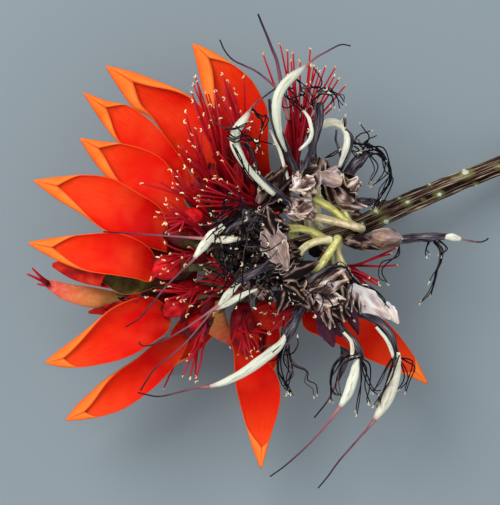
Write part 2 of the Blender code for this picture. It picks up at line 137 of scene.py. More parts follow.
# %% [markdown]
# ## Finishes
#
# Plant skins share a few habits: two or three related colours in soft patches, a fine
# grain, and gloss that changes with the grain. A short set of helpers lays those nodes
# out, so that each finish below is only its colours and its scales.

# %% Helpers for finishes


class Finish:
    """A Principled BSDF material with helpers to lay out its nodes."""

    def __init__(self, name, roughness, **sockets):
        self.material = bpy.data.materials.new(name)
        self.material.use_nodes = True
        self.nodes = self.material.node_tree.nodes
        self.links = self.material.node_tree.links
        self.shader = self.nodes["Principled BSDF"]
        self.shader.inputs["Roughness"].default_value = roughness
        for socket, value in sockets.items():
            self.shader.inputs[socket.replace("_", " ")].default_value = value

    def node(self, kind, **values):
        """A new node with its settings."""
        made = self.nodes.new(kind)
        for name, value in values.items():
            setattr(made, name, value)
        return made

    def where(self, stretch=(1, 1, 1), kind="Object"):
        """Object or UV coordinates, stretched per axis."""
        place = self.node("ShaderNodeTexCoord").outputs[kind]
        mapping = self.node("ShaderNodeMapping")
        mapping.inputs["Scale"].default_value = stretch
        self.links.new(place, mapping.inputs["Vector"])
        return mapping.outputs["Vector"]

    def uv_shares(self):
        """The shares of the way along a piece and of the way round it, from its UV map."""
        parts = self.node("ShaderNodeSeparateXYZ")
        self.links.new(self.where(kind="UV"), parts.inputs["Vector"])
        return parts.outputs["X"], parts.outputs["Y"]

    def marked(self, name):
        """The value of an attribute painted on the mesh."""
        return self.node("ShaderNodeAttribute", attribute_name=name).outputs["Fac"]

    def cloud(self, scale, detail=3.0, place=None, roughness=0.55):
        """Soft noise from 0 to 1."""
        made = self.node("ShaderNodeTexNoise")
        made.inputs["Scale"].default_value = scale
        made.inputs["Detail"].default_value = detail
        made.inputs["Roughness"].default_value = roughness
        self.links.new(place or self.where(), made.inputs["Vector"])
        return made.outputs["Fac"]

    def strands(self, along, round_it, detail=3.0, roughness=0.55):
        """Soft noise in strands that run along a piece, by its UV map."""
        return self.cloud(1.0, detail, self.where((along, round_it, 1), "UV"), roughness)

    def ramp(self, value, *stops):
        """Colours at places along a value; each stop is (place, colour)."""
        made = self.node("ShaderNodeValToRGB")
        bar = made.color_ramp
        while len(bar.elements) < len(stops):
            bar.elements.new(0.5)
        for element, (place, colour) in zip(bar.elements, stops):
            element.position = place
            element.color = (*colour, 1)
        self.links.new(value, made.inputs["Fac"])
        return made.outputs["Color"]

    def levels(self, value, low, high, to_low=0.0, to_high=1.0):
        """Stretches low..high to to_low..to_high."""
        made = self.node("ShaderNodeMapRange")
        for socket, number in zip(("From Min", "From Max", "To Min", "To Max"),
                                  (low, high, to_low, to_high)):
            made.inputs[socket].default_value = number
        self.links.new(value, made.inputs["Value"])
        return made.outputs["Result"]

    def feed(self, sockets, values):
        """Links each socket to a value of another node, or sets it to a number or a colour."""
        for socket, value in zip(sockets, values):
            if isinstance(value, bpy.types.NodeSocket):
                self.links.new(value, socket)
            else:
                socket.default_value = (*value, 1) if isinstance(value, tuple) else value

    def mix(self, share, first, second, blend="MIX"):
        """Two colours mixed by a value or a number."""
        made = self.node("ShaderNodeMix", data_type="RGBA", blend_type=blend)
        self.feed((made.inputs["Factor"], *made.inputs[6:8]), (share, first, second))
        return made.outputs[2]

    def maths(self, operation, first, second):
        """A sum, product or other result of two values or numbers."""
        made = self.node("ShaderNodeMath", operation=operation)
        self.feed(made.inputs, (first, second))
        return made.outputs["Value"]

    def coloured(self, colour):
        """Links a colour to the surface."""
        self.links.new(colour, self.shader.inputs["Base Color"])

    def mottled(self, scale, detail, *stops):
        """Soft patches of a few colours."""
        self.coloured(self.ramp(self.cloud(scale, detail), *stops))

    def rough(self, value):
        """Links a roughness to the surface."""
        self.links.new(value, self.shader.inputs["Roughness"])

    def bumped(self, height, strength, distance):
        """Lets a value shade the surface as a relief, to a depth in mm."""
        made = self.node("ShaderNodeBump")
        made.inputs["Strength"].default_value = strength
        made.inputs["Distance"].default_value = distance * MM
        self.links.new(height, made.inputs["Height"])
        self.links.new(made.outputs["Normal"], self.shader.inputs["Normal"])


# %% [markdown]
# ## The table top
#
# The table only catches the light and a soft shadow.

# %% The table top
TABLE_HALF = 1.6
bpy.ops.object.select_all(action="DESELECT")
bpy.ops.mesh.primitive_plane_add(size=2 * TABLE_HALF, location=(0, 0, 0))
table_top = bpy.context.object
table_top.name = "table_top"
paint = Finish("pale_table", 0.7)
paint.mottled(2.0, 2, (0.3, (0.205, 0.245, 0.265)), (0.7, (0.235, 0.275, 0.295)))
table_top.data.materials.append(paint.material)

# %% [markdown]
# ## Lines and bars
#
# Most parts of a flower are long and round: stamens, styles, pods, stalklets. Each is
# drawn as a few points, smoothed into a curve, given a thickness at every point, and
# then converted to a mesh. All the bars of one kind go into one curve object, which is
# far quicker than hundreds of objects. Afterwards every vertex is marked with how far
# along its bar it lies and with a number of that bar's own, for the finishes to use.

# %% Helpers for lines


def on_curve(a, b, c, d, t):
    """The point a share t of the way from b to c on the Catmull-Rom curve by a and d."""
    first = (c - a) * t
    second = (a * 2 - b * 5 + c * 4 - d) * t * t
    third = (b * 3 - a - c * 3 + d) * t * t * t
    return (b * 2 + first + second + third) / 2


def smooth_line(points, steps):
    """A smooth curve through the points, with this many steps from each to the next."""
    ends = [points[0] * 2 - points[1], *points, points[-1] * 2 - points[-2]]
    line = []
    for a, b, c, d in zip(ends, ends[1:], ends[2:], ends[3:]):
        line.extend(on_curve(a, b, c, d, step / steps) for step in range(steps))
    line.append(points[-1].copy())
    return line


def even_line(points, count):
    """The smooth curve through the points, as count points the same distance apart."""
    line = smooth_line(points, 12)
    walked = [0.0]
    for first, last in zip(line, line[1:]):
        walked.append(walked[-1] + (last - first).length)
    even, k = [], 0
    for step in range(count):
        goal = walked[-1] * step / (count - 1)
        while k < len(line) - 2 and walked[k + 1] < goal:
            k += 1
        share = (goal - walked[k]) / max(walked[k + 1] - walked[k], 1e-9)
        even.append(line[k].lerp(line[k + 1], share))
    return even


def between(keys, at):
    """The value at a place along a table of (place, value) rows."""
    for (low, first), (high, last) in zip(keys, keys[1:]):
        if at <= high:
            return first + (last - first) * (at - low) / (high - low)
    return keys[-1][1]


def spread(values):
    """A table with the values at even places from 0 to 1."""
    return tuple((k / (len(values) - 1), value) for k, value in enumerate(values))


def plan_line(points, count):
    """The even line through points of the plan."""
    return even_line([plan(*point) for point in points], count)


def plan_rows(table, count):
    """Rows for bars, from a table of points on the plan and radii in mm."""
    return [(plan_line(points, count), spread(radii)) for points, radii in table]


# %% Helpers for pieces


def alone(piece):
    """Makes a piece the only selected one, and active."""
    bpy.ops.object.select_all(action="DESELECT")
    piece.select_set(True)
    bpy.context.view_layer.objects.active = piece
    return piece


def joined(pieces, name):
    """Joins pieces into one."""
    alone(pieces[0])
    for piece in pieces:
        piece.select_set(True)
    bpy.ops.object.join()
    pieces[0].name = name
    return pieces[0]


def painted(piece, name, values, kind="FLOAT"):
    """Puts a value on every vertex, for the finishes to read."""
    layer = piece.data.attributes.new(name, kind, "POINT")
    layer.data.foreach_set("vector" if kind == "FLOAT_VECTOR" else "value", values)


def roughened(piece, lump, depth):
    """Pushes the skin about, in lumps of a size and to a depth in mm."""
    for vertex in piece.data.vertices:
        vertex.co += noise.noise_vector(vertex.co / (lump * MM)) * depth * MM


def dressed(piece, material, slot, *nodes):
    """Gives a piece its material and body, and hides the parts it stands for. The slot is not used.
    """
    piece.data.materials.clear()
    piece.data.materials.append(material)
    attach(piece, "root")
    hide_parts(*nodes)
    print(piece.name, len(piece.data.polygons), "faces")


# %% Bars
GOLDEN_SHARE = 0.618  # neighbouring bars get well-mixed numbers


def bars(name, rows, sides=6, profile=None):
    """One mesh of many round bars. A row is (even line, radii in mm for the line)."""
    curve = bpy.data.curves.new(name, "CURVE")
    curve.dimensions = "3D"
    curve.use_fill_caps = True
    if profile:
        curve.bevel_mode = "OBJECT"
        curve.bevel_object = profile
    else:
        curve.bevel_depth = MM
        curve.bevel_resolution = max(sides - 4, 0) // 2
    tree = KDTree(sum(len(line) for line, _ in rows))
    places = []
    for number, (line, radii) in enumerate(rows):
        spline = curve.splines.new("POLY")
        spline.points.add(len(line) - 1)
        for k, point in enumerate(line):
            at = k / (len(line) - 1)
            spline.points[k].co = (*point, 1)
            spline.points[k].radius = between(radii, at)
            tree.insert(point, len(places))
            places.append((at, (number * GOLDEN_SHARE) % 1))
    tree.balance()
    piece = bpy.data.objects.new(name, curve)
    bpy.context.scene.collection.objects.link(piece)
    alone(piece)
    bpy.ops.object.convert(target="MESH")
    piece = bpy.context.object
    bpy.ops.object.mode_set(mode="EDIT")
    bpy.ops.mesh.select_all(action="SELECT")
    bpy.ops.mesh.remove_doubles(threshold=0.005 * MM)
    bpy.ops.mesh.normals_make_consistent(inside=False)
    bpy.ops.object.mode_set(mode="OBJECT")
    bpy.ops.object.shade_smooth()
    nearest = [places[tree.find(vertex.co)[1]] for vertex in piece.data.vertices]
    for mark, values in zip(("along", "tint"), zip(*nearest)):
        painted(piece, mark, values)
    return piece


# %% [markdown]
# ## The stalk
#
# The stalk is a green shoot turned to wood: grey-brown, with pale fibres that run along
# it and small raised scars where older flowers fell. A cylinder would be too regular.
# It starts as a filled circle at the cut end, which is extruded along the drawn line
# one short step at a time and turned and resized to suit, as by hand. The ridges and
# the scars are then pushed out of its skin.

# %% The stalk's form
STALK_LINE = ((128, 45, 4), (107, 37, 14), (84, 28, 24), (63, 19, 34), (44, 10, 44),
              (31, 6, 48), (15, 2, 51), (0, -2, 54), (-14, -6, 57))
STALK_RADII = spread((3.9, 3.9, 4.0, 4.2, 4.5, 4.2, 3.6, 3.0, 1.8))
STALK_SIDES = 96
STALK_RINGS = 110
RIDGE_HEIGHT, FIBRE_HEIGHT, LUMP_HEIGHT, SCAR_HEIGHT = 0.40, 0.07, 0.32, 0.45
RIDGES_ROUND, FIBRES_ROUND = 22, 60
# across and down on the plan, and the radius in mm
SCARS = ((408, 202, 1.3), (386, 221, 1.5), (440, 194, 1.3), (467, 172, 1.9), (376, 211, 1.3),
         (400, 198, 0.7), (431, 184, 0.7), (455, 177, 0.6), (420, 208, 0.6), (478, 184, 0.8),
         (500, 166, 0.9), (515, 162, 0.8), (362, 224, 0.8), (424, 199, 0.5))

# %% Extruding the stalk
stalk_line = even_line([measured(*point) for point in STALK_LINE], STALK_RINGS)
bpy.ops.object.select_all(action="DESELECT")
heading = (stalk_line[1] - stalk_line[0]).normalized()
turn = UP.rotation_difference(heading).to_euler()
bpy.ops.mesh.primitive_circle_add(vertices=STALK_SIDES, radius=between(STALK_RADII, 0) * MM,
                                  fill_type="NGON", location=stalk_line[0], rotation=turn)
stalk = bpy.context.object
stalk.name = "stalk_wood"
bpy.ops.object.transform_apply(location=True, rotation=True, scale=True)
bpy.ops.object.mode_set(mode="EDIT")
bpy.ops.mesh.select_all(action="SELECT")
for k in range(1, STALK_RINGS):
    step = stalk_line[k] - stalk_line[k - 1]
    bpy.ops.mesh.extrude_region_move(TRANSFORM_OT_translate={"value": step})
    at, before = k / (STALK_RINGS - 1), (k - 1) / (STALK_RINGS - 1)
    growth = between(STALK_RADII, at) / between(STALK_RADII, before)
    bpy.ops.transform.resize(value=(growth, growth, growth), center_override=stalk_line[k])
    if k < STALK_RINGS - 1:
        ahead = (stalk_line[k + 1] - stalk_line[k]).normalized()
        bend = heading.rotation_difference(ahead)
        axis, angle = bend.to_axis_angle()
        if angle > 1e-5:
            side = axis.orthogonal().normalized()
            frame_of_turn = (side, axis.cross(side), axis)
            matrix = [[frame_of_turn[c][r] for c in range(3)] for r in range(3)]
            bpy.ops.transform.rotate(value=-angle, orient_axis="Z", orient_matrix=matrix,
                                     orient_matrix_type="GLOBAL", center_override=stalk_line[k])
        heading = ahead
bpy.ops.mesh.select_all(action="SELECT")
bpy.ops.mesh.normals_make_consistent(inside=False)
bpy.ops.object.mode_set(mode="OBJECT")
print("stalk:", len(stalk.data.vertices), "points,",
      [round(c / MM) for c in stalk.dimensions], "mm")

# %% [markdown]
# ## The stalk's ridges and scars
#
# Sculpting would shape the bark by eye. Here every point of the skin finds its place
# along the stalk and round it, and noise on that place lifts it: wide ridges, fine
# fibres and slow lumps. A scar is a low cone round its middle. The same values are kept
# on the mesh as attributes, so that the finish can follow the shape.

# %% The stalk's ridges and scars
stalk_tree = KDTree(len(stalk_line))
for k, point in enumerate(stalk_line):
    stalk_tree.insert(point, k)
stalk_tree.balance()
scar_spots = [(plan(across, down, 0), size * MM) for across, down, size in SCARS]


def stalk_place(co):
    """Where a point of the skin is: its ring, its place round in turns, and the way outwards."""
    centre, k, _ = stalk_tree.find(co)
    along = (stalk_line[min(k + 1, STALK_RINGS - 1)] - stalk_line[max(k - 1, 0)]).normalized()
    out = co - centre
    out -= along * out.dot(along)
    side = along.cross(UP).normalized()
    over = side.cross(along)
    return k, math.atan2(out.dot(side), out.dot(over)) / (2 * math.pi), out


HALO_END = -1.5


def scar_at(co, out):
    """How near a scar's middle a point is: 1 there, 0 on its rim, HALO_END past its green halo."""
    if out.z <= 0:
        return HALO_END
    gaps = [math.hypot((co.x - spot.x) * 0.8, co.y - spot.y) / size for spot, size in scar_spots]
    return max(1 - min(gaps), HALO_END)


scar_marks, skin_marks, ridge_marks = [], [], []
for vertex in stalk.data.vertices:
    k, round_it, out = stalk_place(vertex.co)
    ridge = noise.noise(Vector((round_it * RIDGES_ROUND, k * 0.035, 3))) * 1.6
    fibre = noise.noise(Vector((round_it * FIBRES_ROUND, k * 0.12, 9)))
    lump = noise.noise(vertex.co / (9 * MM))
    scar = scar_at(vertex.co, out)
    scar_marks.append(scar)
    ridge_marks.append(ridge * 0.5 + fibre * 0.5)
    turn = round_it * 2 * math.pi
    skin_marks.extend((math.cos(turn), math.sin(turn), k / STALK_RINGS))
    if out.length > 0.6 * between(STALK_RADII, k / (STALK_RINGS - 1)) * MM:
        lift = (ridge * RIDGE_HEIGHT + fibre * FIBRE_HEIGHT + lump * LUMP_HEIGHT
                + min(max(scar, 0) * 1.6, SCAR_HEIGHT))
        vertex.co += out.normalized() * lift * MM
    vertex.co.z = max(vertex.co.z, 0)
painted(stalk, "scar", scar_marks)
painted(stalk, "ridge", ridge_marks)
painted(stalk, "skin", skin_marks, "FLOAT_VECTOR")
alone(stalk)
bpy.ops.object.shade_smooth_by_angle(angle=math.radians(50))
print("scars:", sum(mark > 0 for mark in scar_marks), "points raised")

# %% [markdown]
# ## The stalk's finish
#
# Bark is dark in its grooves and pale on its ridges, with a little green in it and
# round the scars. A picture could carry that, but nodes stay sharp at any size. The
# noise reads the place round and along the stalk that was kept on the mesh, so it is
# drawn out in fibres. The ridges kept on the mesh are added to it as painted shade in
# the grooves and painted light on the crests, and one ramp colours the sum.

# %% The stalk's finish
FIBRE_STRETCH = (11, 11, 8)
bark = Finish("bark", 0.8, Specular_IOR_Level=0.08)
skin = bark.node("ShaderNodeAttribute", attribute_name="skin").outputs["Vector"]
lengthwise = bark.node("ShaderNodeMapping")
lengthwise.inputs["Scale"].default_value = FIBRE_STRETCH
bark.links.new(skin, lengthwise.inputs["Vector"])
grain_and_groove_shade = bark.cloud(1.0, 6, lengthwise.outputs["Vector"], 0.7)
patches = bark.cloud(90, 3)
# the ridges kept on the mesh make the grooves darker and the crests paler: painted shade and
# painted light over the grain
grain_and_groove_shade = bark.maths("ADD", bark.maths("MULTIPLY", bark.marked("ridge"), 0.14), grain_and_groove_shade)
ground = bark.ramp(grain_and_groove_shade, (0.44, (0.004, 0.001, 0.001)), (0.485, (0.026, 0.010, 0.006)),
                   (0.53, (0.072, 0.030, 0.019)), (0.58, (0.17, 0.090, 0.060)),
                   (0.64, (0.60, 0.47, 0.34)))
greener = bark.mix(bark.levels(patches, 0.60, 0.78, 0, 0.4), ground, (0.16, 0.12, 0.05))
halo = bark.levels(bark.marked("scar"), -1.0, 0.2, 0, 0.45)
haloed = bark.mix(halo, greener, (0.28, 0.32, 0.09))
scar_middle = bark.levels(bark.marked("scar"), 0.3, 0.5, 0, 0.9)
bark.coloured(bark.mix(scar_middle, haloed, (0.72, 0.72, 0.58)))
bark.rough(bark.levels(grain_and_groove_shade, 0.3, 0.7, 0.62, 0.85))
bark.bumped(grain_and_groove_shade, 1.0, 0.6)
dressed(stalk, bark.material, "stalk_bark", "stalk")

# %% [markdown]
# ## The standard petals
#
# A coral tree flower shows one great petal, the standard. It is a boat: rounded where it
# leaves the calyx, widest before its middle, and closed at the tip, where its two
# margins roll over and show the orange outside. Each one starts as a flat grid. Its
# columns are spread between two drawn edges and its rows are wrapped round a trough,
# open at first and rolled shut past the seam. Solidify then gives the sheet its
# thickness and puts the orange on its back.

# %% How a petal is rolled
PETAL_COLUMNS = 64
PETAL_ROWS = 28
PETAL_THICKNESS = 0.4 * MM
BIG_WAVE, BIG_WAVE_HEIGHT = 11, 0.6  # length and height, in mm
FINE_WAVE, FINE_WAVE_HEIGHT = 3.2, 0.16
OPEN_FOLD = ((0, 46), (0.3, 50), (0.6, 58), (1, 60))
FLATNESS = ((0, 0.9), (0.35, 0.62), (0.6, 0.34), (0.8, 0.12), (1, 0.14))
MARGIN_SWEEP = 2.6  # the larger, the wider the mouth of the hood


def side_fold(petal_open, at, starts, seam, reach):
    """The angle in degrees that one side of the trough turns through."""
    if at <= starts:
        return petal_open + (90 - petal_open) * (at / starts) ** 3
    share = min((at - starts) / (seam - starts), 1)
    return 180 - math.degrees(math.asin(max(1 - 2 * reach * share ** MARGIN_SWEEP, -1)))


def petal_point(petal, at, across):
    """The point of a petal's inner skin at shares of its length and of its section."""
    first, last = petal["low_edge"][at], petal["high_edge"][at]
    u = at / PETAL_COLUMNS
    open_fold = between(OPEN_FOLD, u)
    low = side_fold(open_fold, u, petal["band"], petal["seam"], petal["vee"])
    high = side_fold(open_fold, u, petal["free"], petal["seam"], 1 - petal["vee"])
    low_reach = math.sin(math.radians(min(low, 90)))
    high_reach = math.sin(math.radians(min(high, 90)))
    width = (last - first).length
    radius = width / (low_reach + high_reach)
    flat = between(FLATNESS, u)
    turn = math.radians(-low + (low + high) * across)
    sideways = (last - first).normalized() if width > 1e-6 else Vector((1, 0, 0))
    point = first + sideways * radius * (low_reach + math.sin(turn))
    height = petal["keel"](u) * MM + radius * (1 - math.cos(turn)) * flat
    spot = Vector((point.x, point.y, 0)) / MM
    wave = noise.noise(spot / BIG_WAVE + Vector((0, 0, petal["seed"]))) * BIG_WAVE_HEIGHT
    fine = noise.noise(spot / FINE_WAVE + Vector((0, 0, petal["seed"] + 9))) * FINE_WAVE_HEIGHT
    fade = min(1, (1 - u) * 5)
    point.z = height + (wave + fine) * fade * MM
    return point


# %% One petal
FIRST_SEED = 39  # of the noise that makes each petal wave in its own way
petals = []


def standard_petal(name, high, low, heights, vee, seam, band, free,
                   skins=("petal_inside", "petal_outside")):
    """A boat-shaped petal between two drawn edges, both from the root to the tip.

    vee is the share of the hood that the low side covers. The other three are places
    along the petal: where the sides meet, and where the low and the high one start to
    close.
    """
    bpy.ops.object.select_all(action="DESELECT")
    bpy.ops.mesh.primitive_grid_add(x_subdivisions=PETAL_COLUMNS, y_subdivisions=PETAL_ROWS, size=2)
    sheet = bpy.context.object
    sheet.name = "petal_of_" + name
    keys = spread(heights)
    petal = {
        "high_edge": even_line([plan(*point, 0) for point in high], PETAL_COLUMNS + 1),
        "low_edge": even_line([plan(*point, 0) for point in low], PETAL_COLUMNS + 1),
        "keel": lambda u: between(keys, u) + PLAN_SHIFT.z / MM,
        "seam": seam, "vee": vee, "band": band, "free": free,
        "seed": (FIRST_SEED + len(petals)) * 1.7,
    }
    for vertex in sheet.data.vertices:
        at = round((vertex.co.x + 1) / 2 * PETAL_COLUMNS)
        vertex.co = petal_point(petal, at, (vertex.co.y + 1) / 2)
    middle = PETAL_COLUMNS // 3
    along = petal["low_edge"][middle + 1] - petal["low_edge"][middle]
    over = petal["high_edge"][middle] - petal["low_edge"][middle]
    bpy.ops.object.mode_set(mode="EDIT")
    bpy.ops.mesh.select_all(action="SELECT")
    if along.cross(over).z < 0:
        bpy.ops.mesh.flip_normals()
    bpy.ops.mesh.remove_doubles(threshold=0.01 * MM)
    bpy.ops.object.mode_set(mode="OBJECT")
    for skin in skins:
        sheet.data.materials.append(bpy.data.materials[skin])
    wall = sheet.modifiers.new("wall", "SOLIDIFY")
    wall.thickness = PETAL_THICKNESS
    wall.offset = -1
    wall.material_offset = 1
    wall.material_offset_rim = 1
    bpy.ops.object.modifier_apply(modifier="wall")
    bpy.ops.object.shade_smooth()
    petals.append(sheet)


# %% [markdown]
# ## The two faces of a petal
#
# The hollow side of a standard is blood red at its root and scarlet further out. The
# outside is orange, most of all where the margins roll over. Both have fine veins from
# root to tip, so their noise is stretched along the UV map, whose first axis is the
# petal's length. The finishes come before the petals, because each sheet takes two of
# them by name, and Solidify puts the second one on its back.

# %% The two faces of a petal
inside = Finish("petal_inside", 0.6, Specular_IOR_Level=0.05)
petal_length, _ = inside.uv_shares()
veins = inside.strands(5, 70, 3, 0.6)
bloom_red = inside.ramp(petal_length, (0.0, (0.22, 0.0, 0.0)), (0.18, (0.46, 0.0, 0.0)),
                        (0.35, (0.68, 0.002, 0.001)), (0.55, (0.80, 0.014, 0.002)),
                        (0.75, (0.86, 0.044, 0.005)), (1.0, (0.90, 0.12, 0.014)))
soft_patches = inside.levels(inside.cloud(60, 2), 0.42, 0.72, 0, 0.5)
lighter = inside.mix(soft_patches, bloom_red, (0.88, 0.075, 0.014))
inside.coloured(inside.mix(inside.levels(veins, 0.42, 0.66, 0, 0.5), lighter, (0.60, 0.010, 0.002)))
inside.rough(inside.levels(veins, 0.3, 0.7, 0.5, 0.66))
inside.bumped(veins, 0.35, 0.14)

outside = Finish("petal_outside", 0.6, Specular_IOR_Level=0.1)
petal_length, petal_width = outside.uv_shares()
from_keel = outside.maths("ABSOLUTE", outside.maths("SUBTRACT", petal_width, 0.5), 0)
orange = outside.ramp(from_keel, (0.0, (0.80, 0.030, 0.008)), (0.2, (0.88, 0.085, 0.010)),
                      (0.32, (0.90, 0.17, 0.014)), (0.46, (0.92, 0.25, 0.030)),
                      (0.5, (0.80, 0.09, 0.02)))
outer_veins = outside.strands(6, 90, 3, 0.6)
redder = outside.mix(outside.levels(outer_veins, 0.42, 0.66, 0, 0.6), orange,
                     (0.84, 0.055, 0.008))
outside.coloured(outside.mix(outside.levels(petal_length, 0.22, 0.0, 0, 0.7), redder,
                             (0.42, 0.10, 0.02)))
outside.bumped(outer_veins, 0.25, 0.12)

# %% [markdown]
# ## The skins of buds and split calyces
#
# A bud goes from olive at its foot to salmon with freckles and a dark tip. A rolled
# petal and a petal's root are wine red, a keel is ruby, and a calyx that splits is a
# dark husk. These are small, so most are a few colours in soft patches with a little
# relief.

# %% The skins of buds and split calyces
bud = Finish("bud_skin", 0.65, Specular_IOR_Level=0.15)
bud_length, _ = bud.uv_shares()
blush = bud.ramp(bud_length, (0.0, (0.30, 0.26, 0.06)), (0.3, (0.62, 0.24, 0.05)),
                 (0.6, (0.80, 0.17, 0.05)), (0.85, (0.72, 0.07, 0.05)), (1.0, (0.30, 0.01, 0.02)))
freckles = bud.cloud(500, 4)
bud.coloured(bud.mix(bud.levels(freckles, 0.45, 0.7, 0, 0.4), blush, (0.86, 0.36, 0.22)))
bud.bumped(freckles, 0.3, 0.15)
root_red = Finish("petal_wine", 0.55, Specular_IOR_Level=0.15)
root_red.mottled(180, 4, (0.35, (0.36, 0.002, 0.002)), (0.5, (0.66, 0.010, 0.003)),
                 (0.68, (0.84, 0.045, 0.009)))
root_red.bumped(root_red.strands(6, 80, 3), 0.3, 0.15)
ruby = Finish("ruby", 0.5, Specular_IOR_Level=0.15)
ruby.mottled(160, 3, (0.3, (0.07, 0.0, 0.003)), (0.5, (0.20, 0.001, 0.005)),
             (0.75, (0.50, 0.006, 0.008)))
ruby.bumped(ruby.cloud(600, 2), 0.2, 0.15)
husk = Finish("split_calyx", 0.7, Specular_IOR_Level=0.15)
husk.mottled(130, 4, (0.35, (0.035, 0.018, 0.006)), (0.55, (0.11, 0.075, 0.014)),
             (0.75, (0.30, 0.25, 0.05)))
husk.bumped(husk.cloud(600, 3), 0.3, 0.2)

# %% [markdown]
# ## The petals of the near side
#
# A crown made of one petal, turned and scaled ten times, would look stamped, as no two
# real petals are alike. So each petal has its own outline, drawn on the plan as two
# edges from its root to its tip, and the height of its keel at a few even places.

# %% The petals of the near side
# the high edge and the low edge on the plan, and the heights of the keel in mm
PETALS = {
    "bloom_01": (
        ((272, 184), (268, 150), (267, 112), (260, 95), (249, 78), (227, 61), (206, 49), (193, 44)),
        ((252, 184), (232, 158), (216, 131), (206, 99), (199, 70), (193, 44)),
        (36, 38, 41, 44, 47)),
    "bloom_02": (
        ((216, 172), (212, 126), (190, 97), (151, 79), (128, 71), (106, 66)),
        ((203, 186), (177, 153), (153, 119), (134, 107), (119, 87), (106, 66)),
        (40, 39, 38, 40, 43)),
    "bloom_03": (
        ((200, 190), (177, 153), (156, 127), (132, 108), (105, 101), (84, 93)),
        ((190, 202), (150, 176), (127, 149), (115, 138), (100, 118), (84, 93)),
        (51, 48, 46, 46, 50)),
    "bloom_04": (
        ((190, 212), (176, 184), (171, 170), (160, 158), (144, 150), (124, 145), (100, 142),
         (81, 139)),
        ((184, 226), (158, 217), (140, 203), (124, 190), (109, 178), (94, 160), (81, 139)),
        (60, 57, 54, 54, 58)),
    "bloom_05": (
        ((168, 226), (160, 208), (136, 192), (112, 179), (86, 176), (58, 178), (35, 181)),
        ((168, 252), (153, 248), (136, 241), (108, 231), (80, 212), (57, 198), (35, 181)),
        (67, 65, 62, 61, 64)),
    "bloom_06": (
        ((157, 264), (153, 252), (143, 243), (128, 236), (113, 233), (87, 235), (60, 238),
         (30, 243)),
        ((157, 268), (152, 281), (137, 278), (113, 274), (87, 270), (66, 263), (46, 253),
         (30, 243)),
        (68, 70, 68, 67, 69)),
    "bloom_09": (
        ((171, 318), (168, 309), (160, 301), (150, 297), (137, 298), (120, 305), (107, 313),
         (92, 326), (77, 338), (62, 349), (46, 362)),
        ((171, 320), (167, 331), (153, 342), (137, 352), (120, 359), (103, 363), (84, 366),
         (62, 366), (46, 362)),
        (56, 57, 56, 56, 59)),
    "bloom_10": (
        ((192, 332), (163, 339), (150, 348), (137, 359), (120, 370), (104, 381), (88, 396),
         (77, 406), (66, 420)),
        ((190, 336), (184, 350), (178, 361), (165, 376), (153, 388), (137, 400), (120, 410),
         (100, 416), (82, 419), (66, 420)),
        (47, 47, 46, 46, 49)),
    "bloom_11": (
        ((252, 322), (254, 338), (260, 352), (270, 365), (277, 377), (280, 392), (278, 410),
         (269, 440), (261, 468)),
        ((232, 322), (230, 336), (234, 352), (235, 368), (236, 384), (240, 402), (248, 430),
         (254, 450), (261, 468)),
        (42, 43, 43, 43, 47)),
    "bloom_12": (
        ((310, 298), (330, 300), (352, 308), (380, 318), (393, 329), (404, 342), (416, 360),
         (428, 384)),
        ((303, 300), (304, 326), (320, 336), (340, 345), (366, 358), (386, 366), (405, 374),
         (428, 384)),
        (36, 35, 33, 33, 35)),
}
# vee, seam, band and free of each
PETAL_SHAPES = {
    "bloom_01": (0.62, 0.86, 0.20, 0.70), "bloom_02": (0.60, 0.80, 0.42, 0.30),
    "bloom_03": (0.62, 0.82, 0.50, 0.70), "bloom_04": (0.60, 0.84, 0.30, 0.68),
    "bloom_05": (0.55, 0.83, 0.40, 0.66), "bloom_06": (0.50, 0.82, 0.45, 0.62),
    "bloom_09": (0.46, 0.86, 0.74, 0.42), "bloom_10": (0.42, 0.86, 0.78, 0.40),
    "bloom_11": (0.60, 0.86, 0.66, 0.80), "bloom_12": (0.50, 0.88, 0.80, 0.80),
}
for name, (high, low, heights) in PETALS.items():
    standard_petal(name, high, low, heights, *PETAL_SHAPES[name])
print(len(petals), "petals on the near side")

# %% [markdown]
# ## Petals that are mostly hidden
#
# The rolled petals, the ones behind the crown and the ones underneath carry the spike
# and fill the gaps between the others. Nobody drew their edges, so these are worked out
# from a root, a tip and a width, by the same outline that the drawn ones follow.

